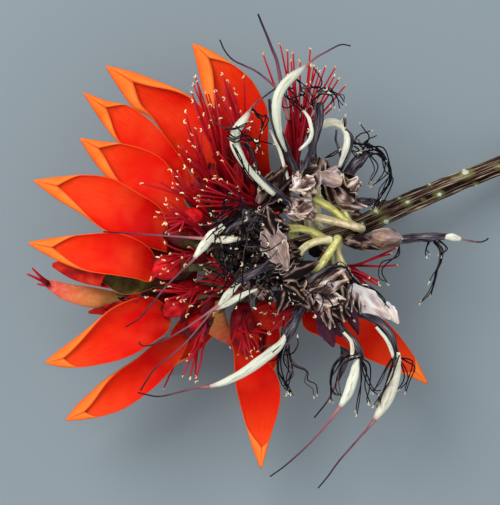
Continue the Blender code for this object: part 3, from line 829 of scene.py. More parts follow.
# %% The open flowers' roots and ways
# name: (station on the axis, way it leaves, root, tip, width, way of its stamens)
OPEN_FLOWERS = {
    "bloom_01": (0.60, (95, -10), (8, 29, 36), (-24, 90, 44), 18, (108, 32)),
    "bloom_02": (0.70, (125, -10), (-15, 27, 42), (-62, 80, 40), 17, (98, 38)),
    "bloom_03": (0.79, (125, 15), (-23, 22, 51), (-71, 69, 47), 18, (105, 50)),
    "bloom_04": (0.84, (120, 40), (-26, 13, 60), (-73, 49, 55), 18, (125, 52)),
    "bloom_05": (0.92, (150, 80), (-32, 7, 67), (-92, 31, 62), 21, (125, 60)),
    "bloom_06": (0.98, (235, 70), (-36, -5, 72), (-95, 4, 67), 20, (180, 65)),
    "bloom_07": (0.99, (180, 10), (-42, -13, 52), (-84, -5, 55), 9, None),
    "bloom_08": (0.94, (225, -60), (-42, -19, 42), (-92, -13, 44), 8, None),
    "bloom_09": (0.88, (240, 40), (-33, -24, 58), (-88, -47, 58), 20, (215, 60)),
    "bloom_10": (0.78, (245, 5), (-24, -33, 47), (-79, -72, 48), 16, (255, 28)),
    "bloom_11": (0.66, (265, 0), (-4, -34, 42), (5, -93, 46), 19, (262, 45)),
    "bloom_12": (0.45, (285, -10), (23, -22, 36), (77, -56, 32), 17, (310, 30)),
    "bloom_13": (0.84, (225, -30), (-29, -18, 31), (-70, -26, 18), 14, None),
    "bloom_14": (0.74, (110, -45), (-12, 24, 31), (-27, 66, 20), 15, (95, 0)),
    "bloom_15": (0.74, (245, -65), (-14, -22, 26), (-42, -54, -4), 15, (228, -10)),
    "bloom_16": (0.86, (150, -60), (-22, 8, 30), (-66, 25, -4), 15, (150, -5)),
    "bloom_17": (0.55, (265, -70), (6, -24, 26), (4, -66, -4), 15, (268, 0)),
    "bloom_18": (0.58, (95, -65), (5, 22, 24), (-10, 66, -4), 15, (103, -8)),
    "bloom_19": (0.36, (85, 0), (16, 34, 44), None, 0, (84, 16)),
    "bloom_20": (0.26, (290, -35), (36, -9, 34), None, 0, (14, 14)),
}
OUTLINE = spread((0.25, 0.72, 0.94, 1.0, 0.97, 0.86, 0.68, 0.44, 0.22, 0.03))
HIDDEN_SHAPE = (0.55, 0.84, 0.5, 0.5)
HIDDEN = ("bloom_13", "bloom_14", "bloom_15", "bloom_16", "bloom_17", "bloom_18")


def on_plan(point):
    """A point in millimetres from the plan's middle, in the plan's squares."""
    return (point[0] / SQUARE + PLAN_MIDDLE[0], PLAN_MIDDLE[1] - point[1] / SQUARE)


def outline_edges(root, tip, width):
    """The two edges of a petal on the plan, from a root, a tip and a width."""
    (x0, y0), (x1, y1) = on_plan(root), on_plan(tip)
    length = math.hypot(x1 - x0, y1 - y0)
    side = ((y1 - y0) / length, -(x1 - x0) / length)
    edges = []
    for sign in (1, -1):
        edge = []
        for k in range(10):
            share = k / 9
            half = sign * between(OUTLINE, share) * width / 2 / SQUARE
            edge.append((x0 + (x1 - x0) * share + side[0] * half,
                         y0 + (y1 - y0) * share + side[1] * half))
        edges.append(edge)
    return edges


for name in HIDDEN:
    _, _, root, tip, width, _ = OPEN_FLOWERS[name]
    high, low = outline_edges(root, tip, width)
    middle = (root[2] + tip[2]) / 2
    heights = (root[2], middle + 2, max(tip[2], -3) + 3.6)
    wine = {"skins": ("petal_wine", "petal_wine")} if name == "bloom_13" else {}
    standard_petal(name, high, low, heights, *HIDDEN_SHAPE, **wine)

# %% [markdown]
# ## Buds and small pieces of petal
#
# One flower is still rolled up, and one petal is just coming out of its split calyx.
# They need no new tool: a boat that is rolled shut from near its root is a bud. The
# same goes for a few small pieces in the crown, such as a calyx, a root, a wing and the
# back of a far petal.

# %% Buds
# edges, heights, where the sides start to close, and the two skins
BUDS = {
    "bloom_07": (
        ((150, 262), (120, 260), (90, 257), (68, 259), (53, 264)),
        ((125, 291), (102, 286), (87, 283), (70, 277), (53, 266)),
        (54, 56, 57, 58), 0.3, ("petal_wine", "petal_wine")),
    "bloom_07_calyx": (
        ((160, 274), (135, 269), (112, 268), (93, 271)),
        ((157, 286), (137, 293), (118, 292), (93, 274)),
        (55, 57, 58, 59), 0.98, ("split_calyx", "bud_skin")),
    "bloom_08": (
        ((132, 294), (113, 292), (92, 288), (70, 285), (52, 281), (42, 280)),
        ((124, 299), (108, 303), (95, 307), (78, 304), (60, 297), (43, 284)),
        (43, 43, 44, 45), 0.04, ("petal_inside", "bud_skin")),
    "bloom_01_root": (
        ((290, 188), (285, 202), (277, 216)),
        ((279, 190), (275, 204), (271, 215)),
        (58, 59, 60), 0.97, ("petal_wine", "petal_wine")),
    "bloom_11_wing": (
        ((244, 316), (262, 306), (280, 302), (293, 305)),
        ((246, 326), (264, 329), (281, 327), (293, 316)),
        (44, 45, 45, 44), 0.97, ("petal_wine", "petal_wine")),
    "bloom_11_keel": (
        ((248, 302), (253, 318), (252, 336), (246, 353)),
        ((238, 302), (231, 318), (233, 338), (243, 354)),
        (45, 48, 48, 46), 0.04, ("ruby", "ruby")),
    "bloom_15_back": (
        ((222, 296), (224, 312), (228, 326), (238, 346)),
        ((204, 298), (201, 318), (210, 334), (236, 348)),
        (46, 42, 38, 34), 0.04, ("petal_inside", "bud_skin")),
}
for name, (high, low, heights, shut, skins) in BUDS.items():
    standard_petal(name, high, low, heights, 0.35, min(shut + 0.04, 0.999), shut, shut, skins)
print(len(petals), "petals in all")

# %% All the petals in one piece
standards = joined(petals, "standard_petals")
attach(standards, "root")
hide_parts(*BLOOMS)
print(standards.name, len(standards.data.polygons), "faces")

# %% [markdown]
# ## Calyces, keels and the flowers' own stalklets
#
# Behind each standard is a leathery calyx, wine red with an olive base, on a short
# stalklet from the axis. In the petal's root sits the keel, a glossy crimson bead. The
# calyces are bars with a swelling. The keel is modelled once from a sphere, drawn out to
# a point and flattened, and then copied to every flower that has one.

# %% Where stalklets leave the axis
AXIS_STEPS = 60
AXIS_FROM = 4  # the point of STALK_LINE where the axis of the spike begins
AXIS_LINE = even_line([measured(*point) for point in STALK_LINE[AXIS_FROM:]], AXIS_STEPS)
AXIS_RADII = spread((4.5, 4.2, 3.6, 3.0, 1.8))
SUNK_IN = 0.3


def direction(heading, climb):
    """The unit vector of a heading in plan and a climb, in degrees."""
    turn, rise = math.radians(heading), math.radians(climb)
    level = math.cos(rise)
    return Vector((level * math.cos(turn), level * math.sin(turn), math.sin(rise)))


def foot_of(station, leave):
    """Where a flower's stalklet starts on the axis, and which way it goes."""
    k = min(int(station * (AXIS_STEPS - 1)), AXIS_STEPS - 2)
    along = (AXIS_LINE[k + 1] - AXIS_LINE[k]).normalized()
    way = direction(*leave)
    way = (way - along * way.dot(along)).normalized()
    return AXIS_LINE[k] + way * (between(AXIS_RADII, station) - SUNK_IN) * MM, way


print("the axis is", round((AXIS_LINE[-1] - AXIS_LINE[0]).length / MM), "mm long")

# %% The open flowers' calyces
CALYX_LENGTH = 9
CALYX_RADII = spread((1.6, 3.2, 3.9, 3.9, 3.5, 2.4))
FLOWER_STALKLET_RADII = spread((1.7, 1.4, 1.4, 1.9))
calyx_rows, flower_stalklet_rows, hidden_keels = [], [], []
for name, (station, leave, root, tip, width, stamens) in OPEN_FLOWERS.items():
    foot, way = foot_of(station, leave)
    root = measured(*root)
    into = (measured(*tip) - root).normalized() if tip else direction(*stamens)
    back = root - into * CALYX_LENGTH * MM
    line = even_line([foot, foot + way * 4 * MM, foot + way * 6.5 * MM, back], 14)
    flower_stalklet_rows.append((line, FLOWER_STALKLET_RADII))
    line = even_line([back - into * MM, root - into * 4 * MM, root, root + into * 5 * MM], 14)
    calyx_rows.append((line, CALYX_RADII))
    if "bloom_12" <= name <= "bloom_18":  # the other keels have places of their own
        hidden_keels.append((root + UP * 3.2 * MM, into, 3.6, 0.0))
calyces = bars("bloom_calyces", calyx_rows, sides=12)
roughened(calyces, 2.5, 0.35)
wine = Finish("calyx_wine", 0.6, Specular_IOR_Level=0.2)
shade = wine.cloud(220, 3)
olive_base = wine.ramp(shade, (0.35, (0.035, 0.018, 0.008)), (0.65, (0.11, 0.06, 0.02)))
wine_mouth = wine.ramp(shade, (0.35, (0.05, 0.002, 0.004)), (0.65, (0.17, 0.006, 0.010)))
wine.coloured(wine.mix(wine.levels(wine.marked("along"), 0.25, 0.7), olive_base, wine_mouth))
wine.bumped(shade, 0.4, 0.3)
dressed(calyces, wine.material, "scarlet_petal", *BLOOMS)

# %% The open flowers' stalklets
flower_stalklets = bars("flower_stalklets", flower_stalklet_rows, sides=12)
olive = Finish("stalklet_olive", 0.6)
olive.mottled(300, 3, (0.35, (0.05, 0.030, 0.014)), (0.65, (0.13, 0.10, 0.03)))
olive.bumped(olive.cloud(900, 2), 0.3, 0.2)
dressed(flower_stalklets, olive.material, "scarlet_petal", *BLOOMS)

# %% The keel, modelled once
bpy.ops.object.select_all(action="DESELECT")
bpy.ops.mesh.primitive_uv_sphere_add(segments=20, ring_count=14, radius=1)
keel_model = bpy.context.object
KEEL_LENGTH = 1.25  # against a sphere of radius 1
CREASE_WIDTH = 0.16
bpy.ops.object.mode_set(mode="EDIT")
bpy.ops.mesh.select_all(action="SELECT")
bpy.ops.transform.resize(value=(KEEL_LENGTH, 0.95, 0.85))
bpy.ops.object.mode_set(mode="OBJECT")
for vertex in keel_model.data.vertices:
    ahead = max(vertex.co.x, 0) / KEEL_LENGTH
    vertex.co.y *= 1 - 0.45 * ahead ** 2
    vertex.co.z *= 1 - 0.35 * ahead ** 2
    crease = math.exp(-(vertex.co.y / CREASE_WIDTH) ** 2) * max(vertex.co.z, 0)
    vertex.co.z -= 0.14 * crease


# %% Copies of a model


def copied(model, name, places):
    """One mesh of copies of a model; a place is (point, the way it faces, size in mm, roll)."""
    bm = bmesh.new()
    for point, way, size, roll in places:
        start = len(bm.verts)
        bm.from_mesh(model.data)
        turn = way.to_track_quat("X", "Z")
        for vertex in list(bm.verts)[start:]:
            local = Vector(vertex.co)
            y = local.y * math.cos(roll) - local.z * math.sin(roll)
            z = local.y * math.sin(roll) + local.z * math.cos(roll)
            vertex.co = point + turn @ Vector((local.x, y, z)) * size * MM
    mesh = bpy.data.meshes.new(name)
    bm.to_mesh(mesh)
    bm.free()
    piece = bpy.data.objects.new(name, mesh)
    bpy.context.scene.collection.objects.link(piece)
    alone(piece)
    bpy.ops.object.shade_smooth()
    return piece


# %% The keels in their places
# the point on the plan, the size in mm and the heading of each keel that shows
KEELS = ((167, 268, 79, 6.2, 200), (175, 307, 67, 5.6, 215), (194, 216, 78, 4.4, 160),
         (240, 330, 50, 4.4, 265), (196, 322, 58, 4.0, 235), (186, 288, 66, 4.6, 200))
KEEL_CLIMB = 12
keel_rows = [(plan(x, y, z), direction(heading, KEEL_CLIMB), size / 1.15, 0.3 * k)
             for k, (x, y, z, size, heading) in enumerate(KEELS)]
keels = copied(keel_model, "keels", keel_rows + hidden_keels)
bpy.data.objects.remove(keel_model)
crimson = Finish("crimson_gloss", 0.5, Specular_IOR_Level=0.12)
crimson.mottled(260, 3, (0.35, (0.30, 0.0, 0.004)), (0.5, (0.55, 0.003, 0.006)),
                (0.68, (0.80, 0.016, 0.014)))
crimson.bumped(crimson.cloud(420, 3), 0.5, 0.4)
dressed(keels, crimson.material, "scarlet_petal", *BLOOMS)

# %% [markdown]
# ## Wings
#
# Small dark ruby petals, the wings, crowd about the keels. They are too many and too
# hidden to draw, so one is modelled from a grid that is narrowed at its ends, cupped
# across and arched along. Copies of it are strewn round the flowers' roots, pointing
# outwards, in sizes and turns that a seeded random generator picks.

# %% The wings
bpy.ops.object.select_all(action="DESELECT")
bpy.ops.mesh.primitive_grid_add(x_subdivisions=10, y_subdivisions=6, size=2)
wing_model = bpy.context.object
WING_OUTLINE = spread((0.35, 0.8, 1.0, 0.95, 0.6, 0.1))
for vertex in wing_model.data.vertices:
    u, v = (vertex.co.x + 1) / 2, vertex.co.y
    half = between(WING_OUTLINE, u) * 0.42
    vertex.co = Vector((u * 2.2, v * half, 0.5 * v * v * half + 0.5 * u * (1 - u)))
wall = wing_model.modifiers.new("wall", "SOLIDIFY")
wall.thickness = 0.06
bpy.ops.object.modifier_apply(modifier="wall")
WING_MIDDLES = ((176, 244, 56), (188, 276, 54), (188, 290, 50), (232, 228, 48), (166, 252, 54),
                (206, 232, 66), (196, 262, 62), (216, 250, 58), (224, 206, 60), (204, 296, 54),
                (244, 190, 50), (216, 190, 56), (232, 170, 50))
CROWN_ACROSS, CROWN_DOWN = 262, 250  # the crown's middle on the plan
WINGS_EACH = 5
wing_chance = random.Random(3)
wing_rows = []
for x, y, z in WING_MIDDLES:
    for _ in range(WINGS_EACH):
        away = math.degrees(math.atan2(CROWN_DOWN - y, x - CROWN_ACROSS))
        away += wing_chance.uniform(-40, 40)
        point = plan(x + wing_chance.uniform(-10, 10), y + wing_chance.uniform(-10, 10),
                     z + wing_chance.uniform(-6, 4))
        way = direction(away, wing_chance.uniform(-10, 40))
        wing_rows.append((point, way, wing_chance.uniform(4.5, 7), wing_chance.uniform(-1.4, 1.4)))
wings = copied(wing_model, "wings", wing_rows)
bpy.data.objects.remove(wing_model)
dressed(wings, ruby.material, "scarlet_petal", *BLOOMS)

# %% [markdown]
# ## Stamens
#
# Ten stamens leave every flower in one bundle: joined for the first half, then free,
# crimson at the foot and pinker at the end, each with a small cream anther curled over
# its tip. They are bars, a bundle at a time, from a drawn base through the end of the
# joined part to drawn tips. The anther is a sphere drawn out and bent over with a
# Simple Deform modifier, and copied to most of the tips.

# %% The bundles of stamens
# base, end of the joined part, and the tips
BUNDLES = (
    ((262, 188, 44), (246, 150, 56), (
        (223, 76, 66), (228, 82, 68), (217, 92, 62), (231, 110, 68), (244, 78, 62), (241, 113, 66),
        (236, 96, 64), (225, 100, 66), (252, 112, 60), (212, 108, 60))),
    ((232, 200, 52), (222, 158, 62), (
        (196, 79, 68), (192, 94, 66), (206, 95, 70), (215, 94, 72), (211, 106, 70), (204, 116, 74),
        (199, 119, 68), (220, 120, 70), (210, 128, 72))),
    ((220, 208, 60), (206, 172, 70), (
        (186, 114, 74), (185, 124, 76), (196, 130, 78), (202, 132, 80), (190, 143, 80),
        (196, 149, 82), (188, 153, 80), (180, 156, 76), (191, 161, 84))),
    ((212, 222, 68), (196, 198, 78), (
        (172, 171, 80), (178, 178, 84), (186, 169, 86), (193, 173, 86), (179, 186, 84),
        (174, 189, 82), (143, 184, 80), (184, 194, 86))),
    ((205, 236, 74), (188, 218, 82), (
        (168, 200, 84), (168, 206, 86), (178, 201, 88), (179, 215, 90), (160, 213, 82),
        (157, 217, 80), (167, 223, 86), (181, 230, 88), (170, 234, 84))),
    ((205, 258, 76), (188, 254, 82), (
        (167, 244, 100), (172, 253, 109), (183, 257, 106), (186, 264, 100), (174, 263, 108),
        (170, 271, 102), (162, 273, 96), (153, 278, 90), (163, 256, 102))),
    ((212, 290, 66), (196, 288, 72), (
        (157, 290, 76), (179, 297, 76), (185, 299, 76), (175, 304, 76), (191, 305, 74),
        (187, 314, 72), (163, 283, 78), (171, 286, 78))),
    ((206, 322, 56), (201, 342, 58), (
        (183, 375, 58), (196, 380, 56), (187, 360, 60), (190, 353, 58), (197, 376, 58))),
    ((246, 312, 54), (240, 330, 56), (
        (238, 354, 56), (246, 357, 56), (254, 347, 56), (260, 338, 56), (230, 346, 54),
        (250, 336, 58), (268, 334, 54))),
    ((296, 306, 50), (282, 314, 52), (
        (274, 322, 52), (260, 323, 54), (270, 332, 52), (262, 312, 54), (285, 330, 50))),
    ((266, 208, 60), (248, 202, 66), (
        (216, 177, 78), (221, 180, 80), (228, 184, 80), (208, 188, 80), (204, 191, 80),
        (200, 196, 80), (196, 199, 82), (198, 207, 82), (232, 194, 78), (227, 201, 78),
        (214, 212, 80), (210, 224, 80), (218, 220, 78), (219, 154, 78), (223, 162, 78))),
    ((252, 282, 56), (232, 284, 62), (
        (201, 262, 72), (207, 270, 72), (196, 280, 74), (205, 292, 70), (212, 256, 74),
        (190, 247, 80), (215, 263, 72), (198, 251, 78), (200, 305, 66), (214, 312, 62))),
    ((292, 176, 48), (299, 138, 54), (
        (263, 55, 58), (280, 45, 56), (291, 62, 60), (293, 54, 56), (300, 63, 62), (310, 50, 58),
        (278, 67, 60), (325, 68, 56), (319, 73, 60), (335, 68, 52), (334, 77, 56), (338, 80, 52),
        (345, 86, 50), (332, 108, 48), (310, 84, 60), (287, 78, 62), (304, 92, 60),
        (316, 100, 56))),
    ((340, 270, 40), (351, 267, 42), (
        (396, 248, 44), (391, 254, 46), (397, 265, 42), (378, 282, 44), (369, 277, 46),
        (372, 295, 42), (373, 289, 40))),
)

# %% Adding a bundle
JOINED_RADII = spread((1.5, 1.6, 1.4, 1.1))
STAMEN_RADII = spread((0.66, 0.60, 0.52, 0.44, 0.34))
FULL_TURN = 6.28
chance = random.Random(11)


def nudged(reach):
    """A small random offset in millimetres."""
    return Vector([chance.uniform(-reach, reach) for _ in range(3)]) * MM


stamen_rows, anther_places = [], []


def add_bundle(base, bend, tips):
    """Adds one flower's stamens, and remembers where its anthers go."""
    joined_part = even_line([base, base.lerp(bend, 0.5) + nudged(0.6), bend], 8)
    stamen_rows.append((joined_part, JOINED_RADII))
    tips = list(tips)
    drawn = len(tips)
    with_anther = drawn * 4 // 3
    for _ in range(drawn * 2 // 3 if 6 < drawn < 12 else drawn // 4):
        first, last = chance.sample(tips[:10], 2)
        tips.append(first.lerp(last, chance.uniform(0.2, 0.8)) + nudged(2.2))
    for count, tip in enumerate(tips):
        start = base + nudged(1.8)
        middle = bend.lerp(start.lerp(tip, 0.5), 0.35) + nudged(1.5)
        late = middle.lerp(tip, 0.6) + nudged(0.5) + UP * 0.4 * MM
        line = even_line([start, middle, late, tip], 16)
        stamen_rows.append((line, STAMEN_RADII))
        way = (line[-1] - line[-3]).normalized()
        if count < with_anther:
            anther_places.append((line[-1] + way * 0.3 * MM, (way + nudged(0.7) / MM).normalized(),
                                  chance.uniform(0.45, 0.95), chance.uniform(0, FULL_TURN)))


# %% All the stamens
HIDDEN_STAMENS = 9
JOINED_LENGTH = 18
for base, bend, tips in BUNDLES:
    add_bundle(plan(*base), plan(*bend), [plan(*tip) for tip in tips])
for name in HIDDEN[1:]:
    _, _, root, _, _, stamens = OPEN_FLOWERS[name]
    base = measured(*root) + UP * 2 * MM
    way = direction(*stamens)
    tips = []
    for _ in range(HIDDEN_STAMENS):
        tip = base + (way + nudged(0.22) / MM).normalized() * chance.uniform(34, 44) * MM
        tip.z = max(tip.z, 5 * MM)
        tips.append(tip)
    add_bundle(base, base + way * JOINED_LENGTH * MM, tips)
# three tips that show at the mouth of the split calyx, and one thick joined part
TEETH = (((48, 283, 46), (40, 276, 47), (32, 268, 48)),
         ((48, 284, 46), (38, 279, 46), (27, 274, 46)),
         ((50, 285, 46), (43, 285, 45), (37, 284, 45)))
stamen_rows += [(plan_line(row, 8), spread((0.9, 0.6, 0.4))) for row in TEETH]
stamen_rows.append((plan_line(((296, 180, 44), (291, 150, 49), (292, 112, 53)), 10),
                    spread((1.6, 3.2, 3.6, 2.6, 0.8))))
stamens = bars("stamens", stamen_rows, sides=8)
red_thread = Finish("stamen_crimson", 0.5, Specular_IOR_Level=0.12)
length_colour = red_thread.ramp(red_thread.marked("along"), (0.0, (0.06, 0.0, 0.002)),
                                (0.35, (0.26, 0.0, 0.005)), (0.7, (0.54, 0.004, 0.010)),
                                (1.0, (0.56, 0.016, 0.020)))
pinker = red_thread.levels(red_thread.marked("tint"), 0.8, 1.0, 0, 0.45)
dark_strands = red_thread.levels(red_thread.strands(2, 16, 3), 0.42, 0.6, 0, 0.35)
pinker_ends = red_thread.mix(pinker, length_colour, (0.56, 0.05, 0.12))
red_thread.coloured(red_thread.mix(dark_strands, pinker_ends, (0.07, 0.0, 0.006)))
dressed(stamens, red_thread.material, "scarlet_petal", *BLOOMS)

# %% The anther, modelled once
bpy.ops.object.select_all(action="DESELECT")
bpy.ops.mesh.primitive_uv_sphere_add(segments=8, ring_count=8, radius=1)
anther_model = bpy.context.object
bpy.ops.object.mode_set(mode="EDIT")
bpy.ops.mesh.select_all(action="SELECT")
bpy.ops.transform.rotate(value=-math.pi / 2, orient_axis="Y", center_override=(0, 0, 0))
bpy.ops.transform.resize(value=(1.7, 0.40, 0.40))
bpy.ops.object.mode_set(mode="OBJECT")
curl = anther_model.modifiers.new("curl", "SIMPLE_DEFORM")
curl.deform_method = "BEND"
curl.deform_axis = "Z"
curl.angle = math.radians(200)
bpy.ops.object.modifier_apply(modifier="curl")
anthers = copied(anther_model, "anthers", anther_places)
cream = Finish("anther_cream", 0.7)
cream.mottled(300, 2, (0.35, (0.70, 0.42, 0.12)), (0.65, (0.95, 0.82, 0.48)))
cream.bumped(cream.cloud(2500, 2), 0.5, 0.1)
dressed(anthers, cream.material, "scarlet_petal", *BLOOMS)

# %% [markdown]
# ## Withered flowers: stalklets, tubes, pods and styles
#
# When the petals fall, the joined stamens dry to a slate-coloured tube. A young pod
# covered in pale felt grows out of it and draws out into a thin style, pink at first and
# black at the end. All of these are drawn lines with their own thickness.

# %% Yellow-green stalklets
STALKLETS = (
    ((356, 228, 50), (344, 220, 55), (330, 208, 59), (310, 196, 62)),
    ((362, 229, 50), (352, 226, 56), (332, 221, 60), (311, 216, 64)),
    ((352, 226, 48), (346, 218, 52), (342, 206, 54), (336, 197, 54)),
    ((330, 244, 56), (318, 235, 62), (302, 229, 66), (284, 229, 71)),
    ((330, 240, 58), (318, 241, 63), (306, 246, 66), (296, 256, 69)),
    ((338, 238, 54), (332, 248, 60), (324, 260, 62), (313, 277, 64)),
    ((340, 240, 50), (337, 250, 55), (340, 260, 56), (344, 270, 56)),
    ((322, 238, 50), (312, 232, 46), (300, 224, 42), (292, 215, 40)),
    ((318, 238, 52), (298, 240, 46), (292, 232, 42), (296, 218, 42)),
    ((326, 238, 48), (314, 232, 52), (308, 224, 56), (308, 212, 58)),
    ((345, 236, 46), (352, 238, 48), (362, 240, 49), (374, 241, 50)),
)
# the far side's: station on the axis, way it leaves, and its cup
HIDDEN_STALKLETS = ((0.10, (60, -70), (342, 206, 24)), (0.20, (100, -50), (319, 182, 30)),
                    (0.14, (285, -70), (333, 292, 22)))
STALKLET_RADII = spread((1.9, 1.7, 1.6, 1.7, 2.0))
stalklet_rows = [(plan_line(row, 16), STALKLET_RADII) for row in STALKLETS]
for station, leave, cup in HIDDEN_STALKLETS:
    foot, way = foot_of(station, leave)
    stalklet_rows.append((even_line([foot, foot + way * 8 * MM, plan(*cup)], 16), STALKLET_RADII))
stalklets = bars("stalklets", stalklet_rows, sides=12)
roughened(stalklets, 3, 0.22)
lime = Finish("stalklet_lime", 0.5, Specular_IOR_Level=0.3)
tone = lime.ramp(lime.marked("tint"), (0.0, (0.90, 0.86, 0.27)), (0.3, (0.94, 0.92, 0.46)),
                 (0.6, (0.97, 0.78, 0.50)), (0.8, (0.56, 0.54, 0.17)), (1.0, (0.84, 0.80, 0.30)))
stripes = lime.levels(lime.strands(1.2, 6, 3), 0.42, 0.62, 0.55, 1.25)
darker_stripes = lime.ramp(stripes, (0.5, (0.55, 0.52, 0.42)), (1.0, (1.0, 1.0, 1.0)))
tone = lime.mix(1.0, tone, darker_stripes, "MULTIPLY")
speckled = lime.mix(lime.levels(lime.cloud(420, 3), 0.46, 0.70, 0, 0.6), tone, (0.30, 0.20, 0.07))
dark_end = lime.levels(lime.marked("along"), 0.8, 1.0, 0, 0.6)
lime.coloured(lime.mix(dark_end, speckled, (0.16, 0.10, 0.06)))
lime.bumped(lime.cloud(900, 2), 0.3, 0.2)
dressed(stalklets, lime.material, "dried_flower", *WITHERED)

# %% [markdown]
# ## Slate-coloured tubes
#
# The joined stamens dry to a thin tube with grooves along it, blue-black with a worn
# grey skin. A round bar would be too smooth, so these are swept with a profile: a ring
# of twenty points with every other one pulled in. The profile goes once it has been
# used.

# %% Slate-coloured tubes
# points, then radii in millimetres
TUBES = (
    (((297, 174, 64), (286, 152, 66), (278, 132, 67), (271, 112, 68), (269, 100, 69)),
     (1.5, 1.9, 2.2, 1.6, 0.7)),
    (((303, 174, 71), (309, 156, 74), (315, 142, 75), (318, 124, 76), (319, 104, 77)),
     (2.2, 1.2, 1.2, 2.2, 1.8)),
    (((346, 176, 56), (355, 165, 58), (366, 152, 60)), (2.2, 2.8, 2.2)),
    (((336, 131, 66), (335, 140, 65), (338, 149, 64), (341, 158, 62)), (0.5, 0.6, 0.6, 0.6)),
    (((345, 130, 66), (351, 138, 65), (349, 152, 64), (343, 164, 61), (339, 172, 58)),
     (0.7, 0.8, 0.8, 0.9, 1.2)),
    (((292, 205, 66), (277, 193, 70), (263, 181, 73), (252, 167, 76)), (1.9, 1.8, 1.4, 0.8)),
    (((262, 222, 79), (248, 220, 83), (234, 226, 85), (226, 234, 86)), (1.9, 1.5, 1.2, 0.9)),
    (((274, 264, 74), (262, 268, 76), (248, 275, 77), (235, 284, 77)), (1.8, 2.0, 2.0, 1.4)),
    (((302, 304, 62), (297, 316, 63), (290, 329, 63), (284, 341, 62)), (1.8, 2.1, 2.5, 2.0)),
    (((336, 322, 60), (346, 334, 61), (356, 345, 61), (361, 358, 60)), (1.6, 1.7, 1.9, 1.4)),
    (((354, 312, 54), (374, 319, 56), (390, 335, 56), (396, 356, 55)), (1.7, 1.9, 2.0, 1.5)),
    (((398, 240, 51), (414, 238, 51), (432, 237, 52), (447, 236, 52)), (2.0, 1.9, 2.1, 1.4)),
    (((294, 290, 66), (308, 281, 69), (322, 272, 70), (336, 267, 70)), (1.7, 1.6, 1.5, 1.2)),
    (((352, 203, 20), (362, 201, 16), (371, 201, 14)), (2.2, 1.9, 1.5)),
    (((316, 166, 26), (314, 156, 23), (313, 148, 21)), (2.2, 1.9, 1.5)),
    (((338, 310, 20), (341, 324, 17), (343, 336, 15)), (2.2, 1.9, 1.5)),
    (((370, 201, 14), (384, 204, 12), (404, 206, 10)), (1.9, 2.1, 0.9)),
    (((313, 150, 21), (311, 128, 18), (301, 108, 16)), (1.9, 2.1, 0.9)),
    (((343, 332, 15), (346, 358, 13), (339, 382, 11)), (1.9, 2.1, 0.9)),
)

# %% A ring with grooves, and the tubes
RIDGE_POINTS = 20
GROOVE_RADIUS = 0.86  # against 1 on the ridges
ring = bpy.data.curves.new("ridged_ring", "CURVE")
ring.dimensions = "2D"
spline = ring.splines.new("POLY")
spline.points.add(RIDGE_POINTS - 1)
for k, point in enumerate(spline.points):
    turn = 2 * math.pi * k / RIDGE_POINTS
    radius = (1 if k % 2 else GROOVE_RADIUS) * MM
    point.co = (math.cos(turn) * radius, math.sin(turn) * radius, 0, 1)
spline.use_cyclic_u = True
ring_object = bpy.data.objects.new("ridged_ring", ring)
bpy.context.scene.collection.objects.link(ring_object)
tubes = bars("slate_tubes", plan_rows(TUBES, 22), profile=ring_object)
bpy.data.objects.remove(ring_object)
roughened(tubes, 3.5, 0.35)
slate = Finish("slate", 0.75, Specular_IOR_Level=0.1)
grain = slate.strands(2.5, 11, 4, 0.7)
slate.coloured(slate.ramp(grain, (0.36, (0.005, 0.003, 0.005)), (0.47, (0.034, 0.027, 0.036)),
                          (0.57, (0.115, 0.095, 0.11)), (0.66, (0.36, 0.31, 0.29))))
slate.bumped(grain, 0.5, 0.3)
dressed(tubes, slate.material, "dried_flower", *WITHERED)

# %% [markdown]
# ## Pods
#
# A young pod is a bent spindle in grey-green felt, and turns pink where its style
# begins. It is a bar that swells and tapers. Felt hardly shines: it gets a rough
# surface with a little sheen, and a fine nap as relief.

